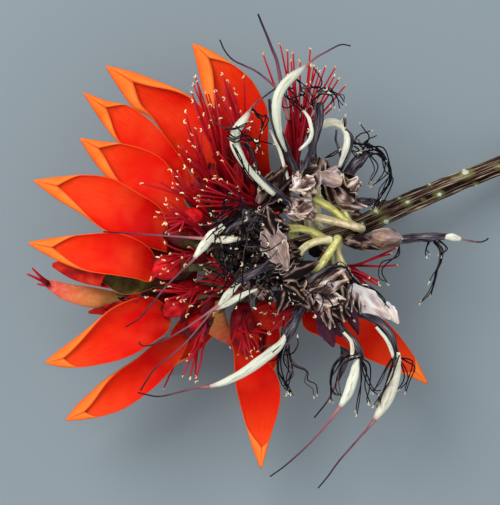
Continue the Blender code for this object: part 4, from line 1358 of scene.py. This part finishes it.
# %% Pale felted pods
# points, then radii in millimetres
PODS = (
    (((286, 152, 70), (279, 134, 76), (276, 112, 80), (278, 97, 81), (285, 85, 80), (295, 76, 77),
      (305, 68, 72)),
     (0.5, 1.2, 1.8, 2.1, 2.0, 1.7, 0.8)),
    (((290, 186, 66), (284, 167, 68), (279, 151, 69), (270, 131, 70)), (0.7, 0.7, 0.7, 0.5)),
    (((303, 112, 77), (309, 121, 80), (311, 133, 80), (308, 142, 79), (299, 151, 77)),
     (0.5, 0.75, 0.9, 0.8, 0.5)),
    (((320, 126, 66), (332, 123, 66), (345, 128, 65)), (1.6, 1.7, 1.5)),
    (((341, 128, 65), (346, 136, 66), (346, 146, 66), (343, 156, 64), (339, 167, 61)),
     (0.7, 1.4, 1.5, 1.1, 0.7)),
    (((274, 195, 72), (258, 181, 75), (246, 167, 78), (239, 155, 80), (235, 144, 80),
      (236, 133, 80), (242, 124, 80), (249, 114, 79)),
     (1.0, 1.3, 1.5, 1.5, 2.0, 2.2, 2.0, 1.0)),
    (((240, 239, 84), (230, 240, 86), (218, 240, 86), (205, 239, 86)), (0.7, 1.6, 1.6, 0.7)),
    (((224, 226, 86), (212, 236, 86), (203, 247, 86), (195, 258, 86)), (1.2, 2.1, 2.0, 0.9)),
    (((242, 280, 77), (236, 286, 78), (229, 293, 78), (219, 305, 76)), (0.6, 1.4, 1.7, 0.7)),
    (((257, 289, 75), (248, 292, 76), (234, 299, 76), (214, 309, 75)), (0.5, 1.2, 1.6, 0.7)),
    (((287, 332, 63), (279, 345, 64), (262, 359, 63), (242, 373, 61), (224, 382, 60),
      (210, 386, 60)),
     (0.7, 2.0, 2.3, 2.1, 1.6, 0.8)),
    (((343, 332, 63), (350, 340, 63), (352, 349, 62), (351, 357, 61)), (0.6, 0.8, 0.9, 0.8)),
    (((358, 354, 60), (356, 366, 60), (352, 380, 60), (347, 394, 60), (340, 406, 59)),
     (0.7, 2.0, 2.3, 2.0, 1.0)),
    (((376, 327, 58), (386, 339, 59), (391, 350, 58), (393, 358, 58)), (0.6, 0.8, 0.8, 0.6)),
    (((398, 352, 56), (397, 366, 56), (392, 384, 56), (385, 402, 55), (375, 419, 54)),
     (0.8, 2.1, 2.8, 2.5, 1.2)),
    (((443, 237, 52), (452, 237, 53), (461, 239, 52)), (0.8, 1.7, 0.8)),
)
pods = bars("pods", plan_rows(PODS, 26), sides=14)
roughened(pods, 4, 0.25)
felt = Finish("pod_felt", 0.9, Sheen_Weight=0.2)
nap = felt.cloud(900, 4)
seams = felt.strands(1.6, 5, 4, 0.65)
tone = felt.ramp(felt.marked("tint"), (0.0, (0.68, 0.69, 0.53)), (0.5, (0.82, 0.80, 0.64)),
                 (0.8, (0.78, 0.70, 0.51)), (1.0, (0.68, 0.70, 0.54)))
pale = felt.mix(felt.levels(seams, 0.5, 0.62, 0, 0.75), tone, (0.30, 0.28, 0.17))
worn = felt.mix(felt.levels(nap, 0.55, 0.75, 0, 0.4), pale, (0.40, 0.38, 0.28))
pink_end = felt.levels(felt.marked("along"), 0.9, 1.0, 0, 0.7)
felt.coloured(felt.mix(pink_end, worn, (0.45, 0.16, 0.18)))
felt.bumped(nap, 0.5, 0.25)
dressed(pods, felt.material, "dried_flower", *WITHERED)

# %% [markdown]
# ## Styles
#
# A style is a wire that leaves the pod's tip, pink at its foot and black at its end.
# The ones that stand clear of the spike give it its outline, so each has its own line
# and the same taper, apart from a thick one that is still fresh and two hairs.

# %% Styles
STYLES = (
    ((304, 69, 72), (314, 60, 70), (326, 53, 68), (340, 46, 66), (350, 47, 65)),
    ((249, 114, 79), (254, 106, 79), (263, 99, 78), (275, 90, 76)),
    ((205, 239, 86), (180, 237, 85), (150, 235, 84), (120, 233, 83), (105, 232, 83)),
    ((195, 258, 86), (170, 283, 85), (153, 303, 83), (140, 318, 82), (127, 326, 81)),
    ((219, 305, 76), (187, 327, 77), (166, 339, 76), (153, 344, 75), (143, 345, 74),
     (140, 341, 74)),
    ((214, 309, 75), (187, 341, 70), (170, 356, 68), (157, 366, 66), (147, 380, 64),
     (141, 390, 63)),
    ((210, 386, 60), (197, 387, 60), (178, 392, 59), (160, 396, 58), (146, 394, 58),
     (138, 392, 58)),
    ((340, 406, 59), (328, 422, 58), (314, 438, 57), (300, 452, 56), (284, 466, 55),
     (270, 476, 55)),
    ((375, 419, 54), (364, 432, 53), (350, 448, 52), (338, 462, 51), (328, 476, 50),
     (318, 488, 50)),
    ((461, 239, 52), (470, 241, 52), (480, 242, 52), (486, 240, 52), (488, 238, 52)),
    ((288, 120, 58), (282, 90, 60), (277, 63, 61), (272, 50, 61), (267, 37, 61), (262, 25, 60),
     (258, 15, 60)),
    ((283, 97, 66), (273, 86, 66), (257, 73, 66), (245, 67, 66), (233, 61, 66), (225, 52, 66),
     (220, 41, 66)),
    ((404, 206, 10), (418, 203, 9), (432, 197, 8)),
    ((301, 108, 16), (292, 92, 14), (280, 80, 12)),
    ((339, 382, 11), (329, 402, 10), (315, 420, 9)),
)
THICK_STYLE = spread((1.0, 0.95, 0.8, 0.7, 0.5, 0.42))
STYLE_RADII = spread((0.85, 0.50, 0.42, 0.38, 0.34, 0.30))
FINE_STYLE = spread((0.4, 0.32))
SPECIAL_STYLES = {5: FINE_STYLE, 9: FINE_STYLE, 10: THICK_STYLE}
style_rows = [(plan_line(row, 30), SPECIAL_STYLES.get(number, STYLE_RADII))
              for number, row in enumerate(STYLES)]
styles = bars("styles", style_rows, sides=6)
stigma = Finish("style", 0.6, Specular_IOR_Level=0.15)
style_colour = stigma.ramp(stigma.marked("along"), (0.0, (0.42, 0.20, 0.17)),
                           (0.2, (0.30, 0.09, 0.11)), (0.5, (0.17, 0.06, 0.09)),
                           (0.75, (0.05, 0.022, 0.034)), (1.0, (0.008, 0.006, 0.009)))
black_ones = stigma.levels(stigma.marked("tint"), 0.5, 0.52)
darker_style = stigma.mix(black_ones, style_colour, (0.006, 0.004, 0.006))
streaks = stigma.levels(stigma.strands(9, 5, 3), 0.45, 0.6, 0.0, 0.75)
stigma.coloured(stigma.mix(streaks, style_colour, darker_style))
dressed(styles, stigma.material, "dried_flower", *WITHERED)

# %% [markdown]
# ## Dried stamens
#
# The free ends of the dried stamens are black threads that curl, tangle and hang, some
# with a husk of an anther left on them. The clearest ones are drawn. The tangles are
# made of loose curls, each a line that keeps turning by a random amount.

# %% Drawn threads
THREADS = (
    ((432, 240, 51), (440, 246, 50), (442, 260, 47), (437, 272, 45), (430, 290, 43),
     (422, 301, 41)),
    ((434, 240, 51), (443, 250, 49), (440, 266, 46), (433, 276, 44), (428, 283, 43)),
    ((436, 272, 45), (434, 284, 43), (431, 296, 42)),
    ((430, 240, 51), (426, 248, 50), (429, 254, 49)),
    ((438, 240, 51), (445, 247, 50), (442, 257, 48)),
    ((399, 246, 49), (396, 256, 47), (384, 266, 46), (382, 274, 45), (388, 285, 44)),
    ((366, 152, 60), (378, 156, 62), (387, 168, 61), (389, 181, 58), (382, 196, 54),
     (376, 208, 51)),
    ((366, 151, 60), (380, 152, 63), (391, 176, 61), (384, 192, 56), (373, 206, 52)),
    ((367, 153, 60), (374, 168, 59), (371, 178, 57), (368, 185, 56)),
    ((368, 152, 60), (382, 158, 63), (384, 172, 61), (374, 184, 58)),
    ((364, 150, 61), (355, 143, 63), (350, 150, 63), (357, 158, 62), (364, 150, 63)),
    ((352, 142, 62), (366, 146, 64), (378, 150, 63), (390, 170, 60), (383, 188, 56),
     (380, 200, 53)),
    ((362, 352, 61), (344, 354, 62), (332, 366, 61), (330, 382, 60), (333, 391, 59),
     (339, 396, 58)),
    ((361, 352, 61), (338, 360, 63), (331, 378, 61), (331, 392, 59), (330, 401, 58)),
    ((361, 356, 61), (344, 362, 63), (338, 374, 61), (336, 388, 59), (341, 396, 58)),
    ((361, 356, 62), (363, 372, 61), (370, 388, 60), (378, 394, 59)),
    ((360, 358, 62), (361, 380, 61), (359, 398, 60), (357, 414, 59)),
    ((360, 357, 62), (366, 368, 62), (365, 384, 61), (368, 398, 60), (371, 402, 59)),
    ((396, 353, 58), (389, 370, 60), (384, 386, 59), (378, 400, 57), (376, 408, 56)),
    ((396, 355, 56), (407, 362, 57), (414, 367, 56), (409, 381, 55), (406, 392, 54)),
    ((396, 356, 56), (406, 368, 57), (407, 380, 56), (398, 389, 55)),
    ((395, 355, 58), (386, 368, 60), (380, 382, 59), (371, 391, 58)),
    ((395, 357, 58), (388, 376, 60), (382, 392, 59), (379, 405, 58)),
    ((284, 344, 62), (280, 358, 60), (282, 370, 58), (286, 386, 56), (291, 393, 55)),
    ((286, 345, 62), (289, 366, 60), (286, 378, 58), (288, 391, 56)),
    ((287, 344, 62), (294, 362, 61), (306, 370, 60), (304, 382, 58), (312, 388, 57),
     (314, 396, 56)),
    ((283, 345, 62), (278, 366, 60), (281, 382, 58), (287, 391, 56)),
    ((285, 346, 63), (284, 360, 61), (290, 374, 59), (284, 386, 57)),
    ((346, 272, 69), (360, 284, 66), (376, 290, 62), (384, 300, 59), (385, 307, 58)),
    ((318, 278, 72), (332, 267, 74), (345, 268, 73), (349, 281, 71), (346, 297, 67),
     (342, 311, 64)),
    ((299, 289, 69), (312, 283, 72), (321, 274, 74), (337, 265, 74), (348, 271, 72)),
    ((317, 93, 78), (323, 89, 79), (331, 92, 78), (339, 97, 76), (344, 104, 74)),
    ((315, 100, 78), (323, 93, 79), (332, 98, 77), (333, 109, 75)),
    ((318, 96, 79), (328, 90, 80), (336, 99, 77), (343, 107, 74)),
    ((255, 113, 79), (262, 123, 79), (260, 134, 78), (257, 150, 77)),
    ((243, 145, 82), (252, 150, 81), (255, 160, 79), (260, 173, 76)),
    ((251, 111, 80), (260, 116, 79), (268, 120, 78), (262, 133, 78)),
    ((327, 157, 64), (333, 153, 65), (339, 150, 65)),
    ((345, 129, 66), (346, 122, 67), (344, 117, 67)),
    ((119, 298, 60), (126, 300, 60), (133, 298, 61), (140, 297, 61), (147, 298, 62)),
    ((220, 208, 84), (232, 203, 86), (246, 204, 86), (258, 210, 84)),
    ((214, 226, 88), (224, 212, 89), (240, 208, 88), (256, 212, 85)),
    ((216, 228, 88), (220, 240, 88), (224, 258, 84), (228, 276, 80)),
    ((214, 232, 88), (219, 246, 86), (221, 262, 83), (226, 280, 80)),
    ((232, 246, 84), (232, 262, 82), (228, 280, 80), (222, 290, 78)),
    ((301, 112, 77), (291, 104, 78), (284, 96, 77), (282, 84, 75)),
    ((228, 128, 82), (234, 131, 84), (243, 128, 84), (248, 124, 82)),
    ((228, 134, 82), (235, 138, 84), (243, 135, 83), (247, 130, 82)),
    ((229, 141, 82), (236, 144, 84), (244, 141, 83), (248, 150, 80), (254, 166, 78)),
    ((233, 146, 83), (240, 160, 82), (250, 176, 79), (262, 190, 75)),
)

# %% Threads with a husk at their ends
THREAD_RADII = spread((0.36, 0.32, 0.28, 0.25, 0.22))
TWIN_REACHES = (0.3, 1.7)  # how far a thread and its twin stray from the drawn line, in mm
thread_rows, husk_places = [], []


def add_husk(line, smallest, largest):
    """Remembers a husk of an anther at the end of a thread."""
    husk_places.append((line[-1], (line[-1] - line[-3]).normalized(),
                        chance.uniform(smallest, largest), chance.uniform(0, FULL_TURN)))


for row in THREADS:
    for reach in TWIN_REACHES:
        line = even_line([plan(*point) + nudged(reach) for point in row], 22)
        thread_rows.append((line, THREAD_RADII))
        add_husk(line, 0.55, 0.75)
print(len(thread_rows), "drawn threads")

# %% Tangled threads
# middle of the tangle, its half size on the plan, how many, and how long in mm
TANGLES = (
    ((302, 99, 76), (12, 12, 3), 16, 12),
    ((236, 262, 82), (17, 24, 5), 26, 18),
    ((242, 218, 84), (18, 9, 4), 14, 16),
    ((262, 284, 72), (16, 12, 5), 18, 14),
    ((256, 250, 76), (14, 16, 5), 16, 15),
    ((330, 292, 70), (14, 12, 4), 10, 14),
    ((240, 136, 81), (9, 12, 3), 6, 12),
    ((360, 148, 61), (8, 6, 3), 8, 12),
    ((282, 352, 60), (4, 8, 3), 5, 14),
)
CURL_STEPS = 9
WITH_HUSK = 0.85


def loose_curl(start, length):
    """A line from a point that keeps turning a little as it goes."""
    way = direction(chance.uniform(0, 360), chance.uniform(-35, 35))
    line = [start]
    bend = nudged(0.55) / MM
    for _ in range(CURL_STEPS):
        way = (way + bend + nudged(0.35) / MM).normalized()
        line.append(line[-1] + way * length / CURL_STEPS * MM)
    return line


for (x, y, z), (wide, deep, tall), count, length in TANGLES:
    for _ in range(count):
        start = plan(x + chance.uniform(-wide, wide), y + chance.uniform(-deep, deep),
                     z + chance.uniform(-tall, tall))
        line = even_line(loose_curl(start, length * chance.uniform(0.7, 1.3)), 24)
        thread_rows.append((line, THREAD_RADII))
        if chance.random() < WITH_HUSK:
            add_husk(line, 0.5, 1.0)
threads = bars("dried_threads", thread_rows, sides=6)
ink = Finish("thread_black", 0.7, Specular_IOR_Level=0.06)
faded_ones = ink.levels(ink.marked("tint"), 0.75, 1.0, 0, 0.7)
black = ink.ramp(ink.cloud(300, 2), (0.4, (0.003, 0.002, 0.004)), (0.7, (0.018, 0.012, 0.018)))
ink.coloured(ink.mix(faded_ones, black, (0.17, 0.12, 0.11)))
dressed(threads, ink.material, "dried_flower", *WITHERED)
husks = copied(anther_model, "anther_husks", husk_places)
bpy.data.objects.remove(anther_model)
straw = Finish("husk_straw", 0.8)
straw.mottled(300, 2, (0.35, (0.42, 0.32, 0.18)), (0.65, (0.86, 0.78, 0.58)))
straw.bumped(straw.cloud(2000, 2), 0.4, 0.1)
dressed(husks, straw.material, "dried_flower", *WITHERED)

# %% [markdown]
# ## Papery calyces
#
# The dried calyces are the colour of old paper: brown, grey and lilac, crumpled, folded
# and torn. A cloth simulation could crumple a sheet, but it is slow and hard to steer.
# Ridged noise does it in one step: its value is folded over at zero, which turns soft
# swells into sharp crests. Each piece of calyx starts as a flat grid. It is wrapped
# round a line as a cup with a torn mouth, or drawn to a leaf between two points. Then
# every point is pushed out by how near a crest it is. That value is kept on the mesh
# too, and by it the finish paints shade into the folds and light onto the crests.

# %% Crumpling
PAPER_THICKNESS = 0.3
CREST_SHARPNESS = 2.6
SMALL_FOLDS = 2.3  # times as fine as the big ones
BIG_SHARE = 0.75
MIDDLE_FOLD = 0.6
# how much paler a painted highlight makes the edges of every sheet
EDGE_HIGHLIGHT = 0.3


def ridged(place):
    """Noise with sharp crests, from 0 in a hollow to 1 on a crest."""
    return 1 - min(abs(noise.noise(place)) * CREST_SHARPNESS, 1)


def crumpled(place):
    """How near a crest a place is, in big folds with small ones over them."""
    return ridged(place) * BIG_SHARE + ridged(place * SMALL_FOLDS) * (1 - BIG_SHARE)


def paper_sheet(columns, rows, point_of, depth, pale, closed=False):
    """A crumpled sheet. point_of(u, v) gives a point, the way it is pushed and its fold place."""
    bpy.ops.object.select_all(action="DESELECT")
    bpy.ops.mesh.primitive_grid_add(x_subdivisions=columns, y_subdivisions=rows, size=2)
    sheet = bpy.context.object
    folds = []
    for vertex in sheet.data.vertices:
        u, v = (vertex.co.x + 1) / 2, (vertex.co.y + 1) / 2
        point, push, place = point_of(u, v)
        torn_edge = u > 0.99 or (not closed and abs(v - 0.5) > 0.49)
        crest = crumpled(place)
        vertex.co = point + push * (crest - 0.5) * depth * MM
        # the fold value: painted shade in the hollows, painted light on the crests, and a painted
        # highlight along the sheet's edges
        folds.append(MIDDLE_FOLD + (crest - MIDDLE_FOLD) * min(depth * depth, 1)
                     + (EDGE_HIGHLIGHT if torn_edge else 0))
    painted(sheet, "fold", folds)
    painted(sheet, "pale", [pale] * len(folds))
    bpy.ops.object.mode_set(mode="EDIT")
    bpy.ops.mesh.select_all(action="SELECT")
    bpy.ops.mesh.remove_doubles(threshold=0.01 * MM)
    bpy.ops.object.mode_set(mode="OBJECT")
    wall = sheet.modifiers.new("wall", "SOLIDIFY")
    wall.thickness = PAPER_THICKNESS * MM
    bpy.ops.object.modifier_apply(modifier="wall")
    return sheet


# %% [markdown]
# ## Cups
#
# A whole calyx is a cup round the foot of the pod. Its grid is bent to a ring whose two
# edges meet, with long pleats, and noise makes it stop early here and there, which
# leaves a torn mouth.

# %% Cups
# the line from the stalklet to the mouth, the radii in mm, how pale it is, and how deep
# its folds are in mm
CUPS = (
    (((313, 198, 61), (305, 188, 63), (297, 173, 64)), (2.0, 3.2, 2.8, 2.2), 0.60, 1.8),
    (((312, 197, 64), (304, 186, 70), (303, 172, 72)), (2.0, 3.2, 3.0, 2.4), 0.70, 1.8),
    (((337, 200, 53), (340, 188, 55), (346, 174, 57)), (2.4, 4.6, 5.0, 3.6), 0.62, 2.2),
    (((318, 184, 60), (328, 177, 61), (340, 169, 60)), (1.6, 2.8, 2.8, 2.0), 0.62, 0.5),
    (((314, 216, 64), (302, 210, 66), (290, 203, 67)), (2.2, 3.2, 3.0, 2.2), 0.48, 1.6),
    (((286, 230, 71), (274, 226, 76), (262, 219, 79)), (2.2, 3.8, 3.8, 2.6), 0.36, 1.0),
    (((298, 255, 69), (288, 256, 73), (274, 263, 74)), (2.2, 3.6, 3.4, 2.4), 0.28, 1.6),
    (((314, 276, 64), (306, 288, 64), (301, 304, 62)), (2.2, 3.6, 3.6, 2.8), 0.34, 2.0),
    (((322, 288, 62), (330, 304, 61), (337, 322, 60)), (2.4, 4.4, 4.4, 3.2), 0.36, 1.8),
    (((344, 269, 56), (348, 288, 56), (354, 311, 55)), (2.0, 3.4, 3.4, 2.6), 0.44, 1.6),
    (((372, 241, 50), (386, 239, 51), (402, 239, 51)), (2.2, 4.4, 4.2, 1.9), 0.44, 0.5),
    (((344, 240, 53), (360, 242, 52), (376, 243, 51)), (1.6, 3.0, 3.2, 2.2), 0.28, 0.8),
    (((342, 206, 24), (348, 204, 22), (354, 203, 20)), (2.2, 4.0, 3.8, 2.6), 0.40, 1.4),
    (((319, 182, 30), (318, 174, 28), (316, 166, 26)), (2.2, 4.0, 3.8, 2.6), 0.50, 1.4),
    (((333, 292, 22), (335, 301, 21), (338, 310, 20)), (2.2, 4.0, 3.8, 2.6), 0.35, 1.4),
)

# %% A cup
CUP_STEPS = 30
CUP_GRID = (24, 44)
FOLDS_ROUND = 1.5
FOLDS_ALONG = 1.6


def cup_sheet(points, radii, pale, depth):
    """A crumpled cup round a line, with pleats along it and a torn mouth."""
    line = plan_line(points, CUP_STEPS)
    keys = spread(radii)
    seed = points[0][0] * 0.13

    def point_of(u, v):
        turn = 2 * math.pi * v
        ring = Vector((math.cos(turn), math.sin(turn), seed))
        torn = 1 + 0.3 * noise.noise(ring * 2.2)
        at = min(u * torn * 0.9, 1.0) * (CUP_STEPS - 1)
        k = min(int(at), CUP_STEPS - 2)
        centre = line[k].lerp(line[k + 1], at - k)
        along = (line[k + 1] - line[k]).normalized()
        side = along.cross(UP).normalized()
        out = side * math.cos(turn) + side.cross(along) * math.sin(turn)
        pleat = abs(noise.noise(ring * 2.6 + Vector((0, 0, u * 0.8)))) * min(depth, 1.6)
        radius = between(keys, at / (CUP_STEPS - 1)) * (1.1 - pleat * 0.7)
        fold = Vector((ring.x * FOLDS_ROUND, ring.y * FOLDS_ROUND, seed + u * FOLDS_ALONG))
        return centre + out * radius * MM, out, fold

    return paper_sheet(*CUP_GRID, point_of, depth, pale, closed=True)


papers = [cup_sheet(*row) for row in CUPS]
print(len(papers), "cups")

# %% [markdown]
# ## Lobes
#
# A torn calyx opens into lobes, and a leaf between two points can stand for one. The
# large lobes that show are placed one by one. Small ones ring the cups with deep folds,
# and heaps of them fill the spike behind. Only their edges show, so they get a much
# coarser grid.

# %% Lobes
# from, to, width, arch, curl and the depth of its folds (all in mm), and how pale it is
LOBES = (
    ((266, 229, 80), (287, 270, 77), 11.5, 1.4, 0.6, 0.42, 0.58),
    ((281, 277, 73), (318, 262, 70), 7.5, 2.5, 1.0, 1.2, 0.30),
    ((341, 182, 63), (310, 175, 64), 6.5, 2.6, 0.6, 0.4, 0.70),
    ((352, 200, 58), (326, 178, 62), 8.5, 2.5, 2.0, 1.8, 0.34),
    ((358, 190, 60), (336, 172, 62), 8.0, -2.0, 2.0, 1.8, 0.42),
    ((332, 200, 58), (322, 182, 62), 6.0, 1.5, 2.0, 1.5, 0.30),
    ((338, 204, 56), (366, 207, 55), 4.0, 1.5, 3.0, 0.8, 0.60),
    ((330, 204, 55), (352, 211, 53), 3.5, 1.0, 2.0, 0.8, 0.40),
    ((314, 180, 76), (289, 190, 76), 6.5, 1.5, 2.0, 1.6, 0.72),
    ((308, 192, 77), (292, 176, 77), 6.0, -1.5, 1.5, 1.6, 0.70),
    ((316, 168, 73), (298, 180, 76), 4.5, 1.5, 1.5, 1.2, 0.40),
    ((312, 204, 70), (288, 214, 69), 6.5, 1.8, 1.5, 1.6, 0.75),
    ((306, 217, 70), (289, 202, 70), 6.0, -1.5, 1.5, 1.6, 0.46),
    ((273, 234, 80), (266, 206, 83), 7.0, 2.0, 1.5, 1.0, 0.40),
    ((282, 224, 79), (258, 214, 81), 6.0, 2.0, 1.0, 1.0, 0.34),
    ((320, 284, 66), (329, 327, 62), 8.0, 2.5, 1.5, 1.5, 0.46),
    ((338, 284, 66), (341, 322, 61), 7.0, 2.0, -1.5, 1.5, 0.52),
    ((316, 296, 67), (345, 300, 67), 7.0, 2.0, 1.5, 1.2, 0.70),
    ((324, 300, 66), (334, 326, 63), 6.0, 1.0, 1.0, 1.2, 0.36),
    ((348, 288, 58), (389, 318, 54), 11.5, 2.0, 1.6, 0.5, 0.90),
    ((384, 303, 55), (398, 323, 54), 5.0, 1.0, 1.0, 0.4, 0.95),
    ((310, 292, 70), (346, 268, 71), 3.2, 1.0, 1.0, 1.0, 0.66),
    ((314, 296, 68), (348, 279, 70), 4.0, 1.0, 1.0, 0.8, 0.58),
    ((308, 287, 70), (338, 268, 71), 3.0, 1.0, 1.0, 0.6, 0.34),
    ((340, 268, 70), (348, 282, 69), 3.6, 1.2, 0.6, 0.8, 0.78),
    ((282, 282, 71), (306, 302, 68), 8.0, 2.0, 2.0, 1.8, 0.30),
    ((304, 278, 71), (284, 301, 68), 7.0, -2.0, 1.5, 1.8, 0.38),
    ((286, 290, 72), (278, 312, 68), 6.0, 1.0, 1.5, 1.4, 0.34),
    ((300, 290, 69), (312, 310, 66), 6.0, 1.0, 1.5, 1.4, 0.30),
    ((259, 204, 66), (287, 166, 67), 7.0, 2.0, 1.0, 0.8, 0.26),
    ((262, 198, 64), (273, 172, 65), 6.5, 2.0, 1.0, 0.8, 0.40),
    ((272, 200, 65), (292, 178, 66), 6.0, 2.0, 1.0, 0.8, 0.20),
    ((346, 240, 54), (378, 249, 51), 5.0, 2.0, 1.0, 0.9, 0.28),
    ((298, 262, 72), (276, 258, 76), 7.0, 1.5, 1.0, 1.0, 0.18),
    ((371, 236, 54), (402, 239, 53), 7.0, 2.6, 0.2, 0.4, 0.50),
)
LOBE_OUTLINE = spread((0.45, 0.85, 1.0, 0.92, 0.7, 0.42, 0.06))
LARGE_GRID, SMALL_GRID = (20, 18), (11, 9)
SEPALS = 6
lobe_chance = random.Random(5)
# middle of a heap of lobes, its half size on the plan, how many, and the palest
HEAPS = (
    ((244, 250, 62), (24, 34, 8), 30, 0.30),
    ((232, 226, 66), (20, 16, 6), 14, 0.16),
    ((268, 288, 62), (22, 14, 6), 12, 0.50),
    ((292, 268, 56), (20, 20, 6), 8, 0.44),
    ((330, 296, 58), (14, 16, 5), 8, 0.40),
    ((268, 200, 56), (14, 16, 5), 8, 0.22),
)

# %% A lobe
FOLDS_PER_MM = 0.28


def lobe_sheet(first, last, width, arch, curl, depth, pale, grid=LARGE_GRID):
    """One crumpled lobe of a calyx, between two points."""
    along = last - first
    across = along.cross(UP).normalized()
    over = across.cross(along).normalized()
    over = over if over.z > 0 else -over
    seed = first.x * 90

    def point_of(u, v):
        w = 2 * v - 1
        torn = 1 + 0.25 * noise.noise(Vector((u * 7, seed, w)))
        half = between(LOBE_OUTLINE, u) * width / 2 * torn
        pleat = abs(noise.noise(Vector((u * 0.8, v * 4.0, seed)))) * depth * 1.2
        lift = arch * (1 - w * w) + curl * (u - 0.4) ** 2 * 3 - pleat
        fold = Vector((v * width * FOLDS_PER_MM, u * along.length / MM * FOLDS_PER_MM * 0.4, seed))
        return first + along * u + across * w * half * MM + over * lift * MM, over, fold

    return paper_sheet(*grid, point_of, depth, pale)


# %% All the papers
papers += [lobe_sheet(plan(*first), plan(*last), *rest) for first, last, *rest in LOBES]
for points, radii, pale, depth in CUPS:
    line = plan_line(points, 12)
    along = (line[-1] - line[5]).normalized()
    side = along.cross(UP).normalized()
    for k in range(SEPALS if depth > 1 else 0):
        turn = 2 * math.pi * (k + lobe_chance.uniform(-0.3, 0.3)) / SEPALS
        out = side * math.cos(turn) + side.cross(along) * math.sin(turn)
        first = line[4] + out * radii[1] * 0.8 * MM
        last = (line[9] + out * (radii[2] + lobe_chance.uniform(0, 3)) * MM
                + along * lobe_chance.uniform(1, 5) * MM)
        papers.append(lobe_sheet(first, last, lobe_chance.uniform(4, 6.5), 1.0,
                                 lobe_chance.uniform(-1, 2), 1.0,
                                 pale + lobe_chance.uniform(-0.2, 0.25), SMALL_GRID))
for (x, y, z), (wide, deep, tall), count, palest in HEAPS:
    for _ in range(count):
        first = plan(x + lobe_chance.uniform(-wide, wide), y + lobe_chance.uniform(-deep, deep),
                     z + lobe_chance.uniform(-tall, tall))
        length = lobe_chance.uniform(5, 9)
        way = direction(lobe_chance.uniform(0, 360), lobe_chance.uniform(-20, 40))
        papers.append(lobe_sheet(first, first + way * length * MM, length * 0.7, 1.0, 1.5, 1.2,
                                 lobe_chance.uniform(0, palest), SMALL_GRID))
print(len(papers), "cups and lobes")
calyx_papers = joined(papers, "dried_calyces")
bpy.ops.object.shade_smooth_by_angle(angle=math.radians(45))

# %% [markdown]
# ## The papery finish
#
# The crests and the edges of the sheets get painted highlights, and the folds painted
# shade. The mesh already carries both, and how pale each piece is. Adding noise to
# their sum and reading one ramp by it keeps every piece in the same family of colours,
# from near black by brown and lilac to cream. Warmer patches lie over that.

# %% The papery finish
paper = Finish("old_paper", 0.85, Specular_IOR_Level=0.12)
veins = paper.strands(1.6, 12, 3, 0.6)
tone_and_fold_light = paper.maths("ADD", paper.marked("pale"), paper.levels(veins, 0.32, 0.66, -0.14, 0.12))
tone_and_fold_light = paper.maths("ADD", tone_and_fold_light, paper.levels(paper.cloud(170, 2), 0.3, 0.7, -0.10, 0.10))
# painted shade in the folds, and painted highlights on the crests and along the edges
tone_and_fold_light = paper.maths("ADD", tone_and_fold_light, paper.levels(paper.marked("fold"), 0.15, 1.0, -0.48, 0.42))
paper_tone_and_fold_light = paper.ramp(tone_and_fold_light, (0.0, (0.008, 0.004, 0.004)), (0.2, (0.045, 0.022, 0.018)),
                  (0.38, (0.16, 0.090, 0.070)), (0.55, (0.34, 0.230, 0.19)),
                  (0.72, (0.58, 0.44, 0.44)), (0.88, (0.82, 0.72, 0.69)), (1.0, (0.88, 0.82, 0.72)))
warm = paper.mix(1.0, paper_tone_and_fold_light, (1.0, 0.84, 0.60), "MULTIPLY")
paper.coloured(paper.mix(paper.levels(paper.cloud(110, 2), 0.48, 0.60, 0, 0.8), paper_tone_and_fold_light, warm))
paper.bumped(paper.strands(8, 60, 5, 0.7), 0.6, 0.3)
dressed(calyx_papers, paper.material, "dried_flower", *WITHERED)

# %% [markdown]
# ## Maroon calyx tips
#
# A few tips dry without fading and stay a deep, smooth maroon. They are lobes like the
# others, but with shallow folds and a plain finish, so they are a separate piece.

# %% Maroon calyx tips
# from, to and width
MAROON = (((322, 318, 63), (333, 346, 60), 7.5), ((332, 320, 62), (340, 336, 60), 5.0),
          ((348, 306, 60), (358, 334, 57), 5.0), ((318, 310, 64), (330, 336, 61), 6.0))
maroon_tips = joined([lobe_sheet(plan(*first), plan(*last), width, 1.0, 0.5, 0.4, 0.5)
                      for first, last, width in MAROON], "maroon_tips")
bpy.ops.object.shade_smooth_by_angle(angle=math.radians(32))
maroon = Finish("maroon", 0.6, Specular_IOR_Level=0.2)
maroon.mottled(200, 3, (0.35, (0.018, 0.002, 0.008)), (0.65, (0.075, 0.010, 0.026)))
maroon.bumped(maroon.cloud(700, 3), 0.4, 0.2)
dressed(maroon_tips, maroon.material, "dried_flower", *WITHERED)
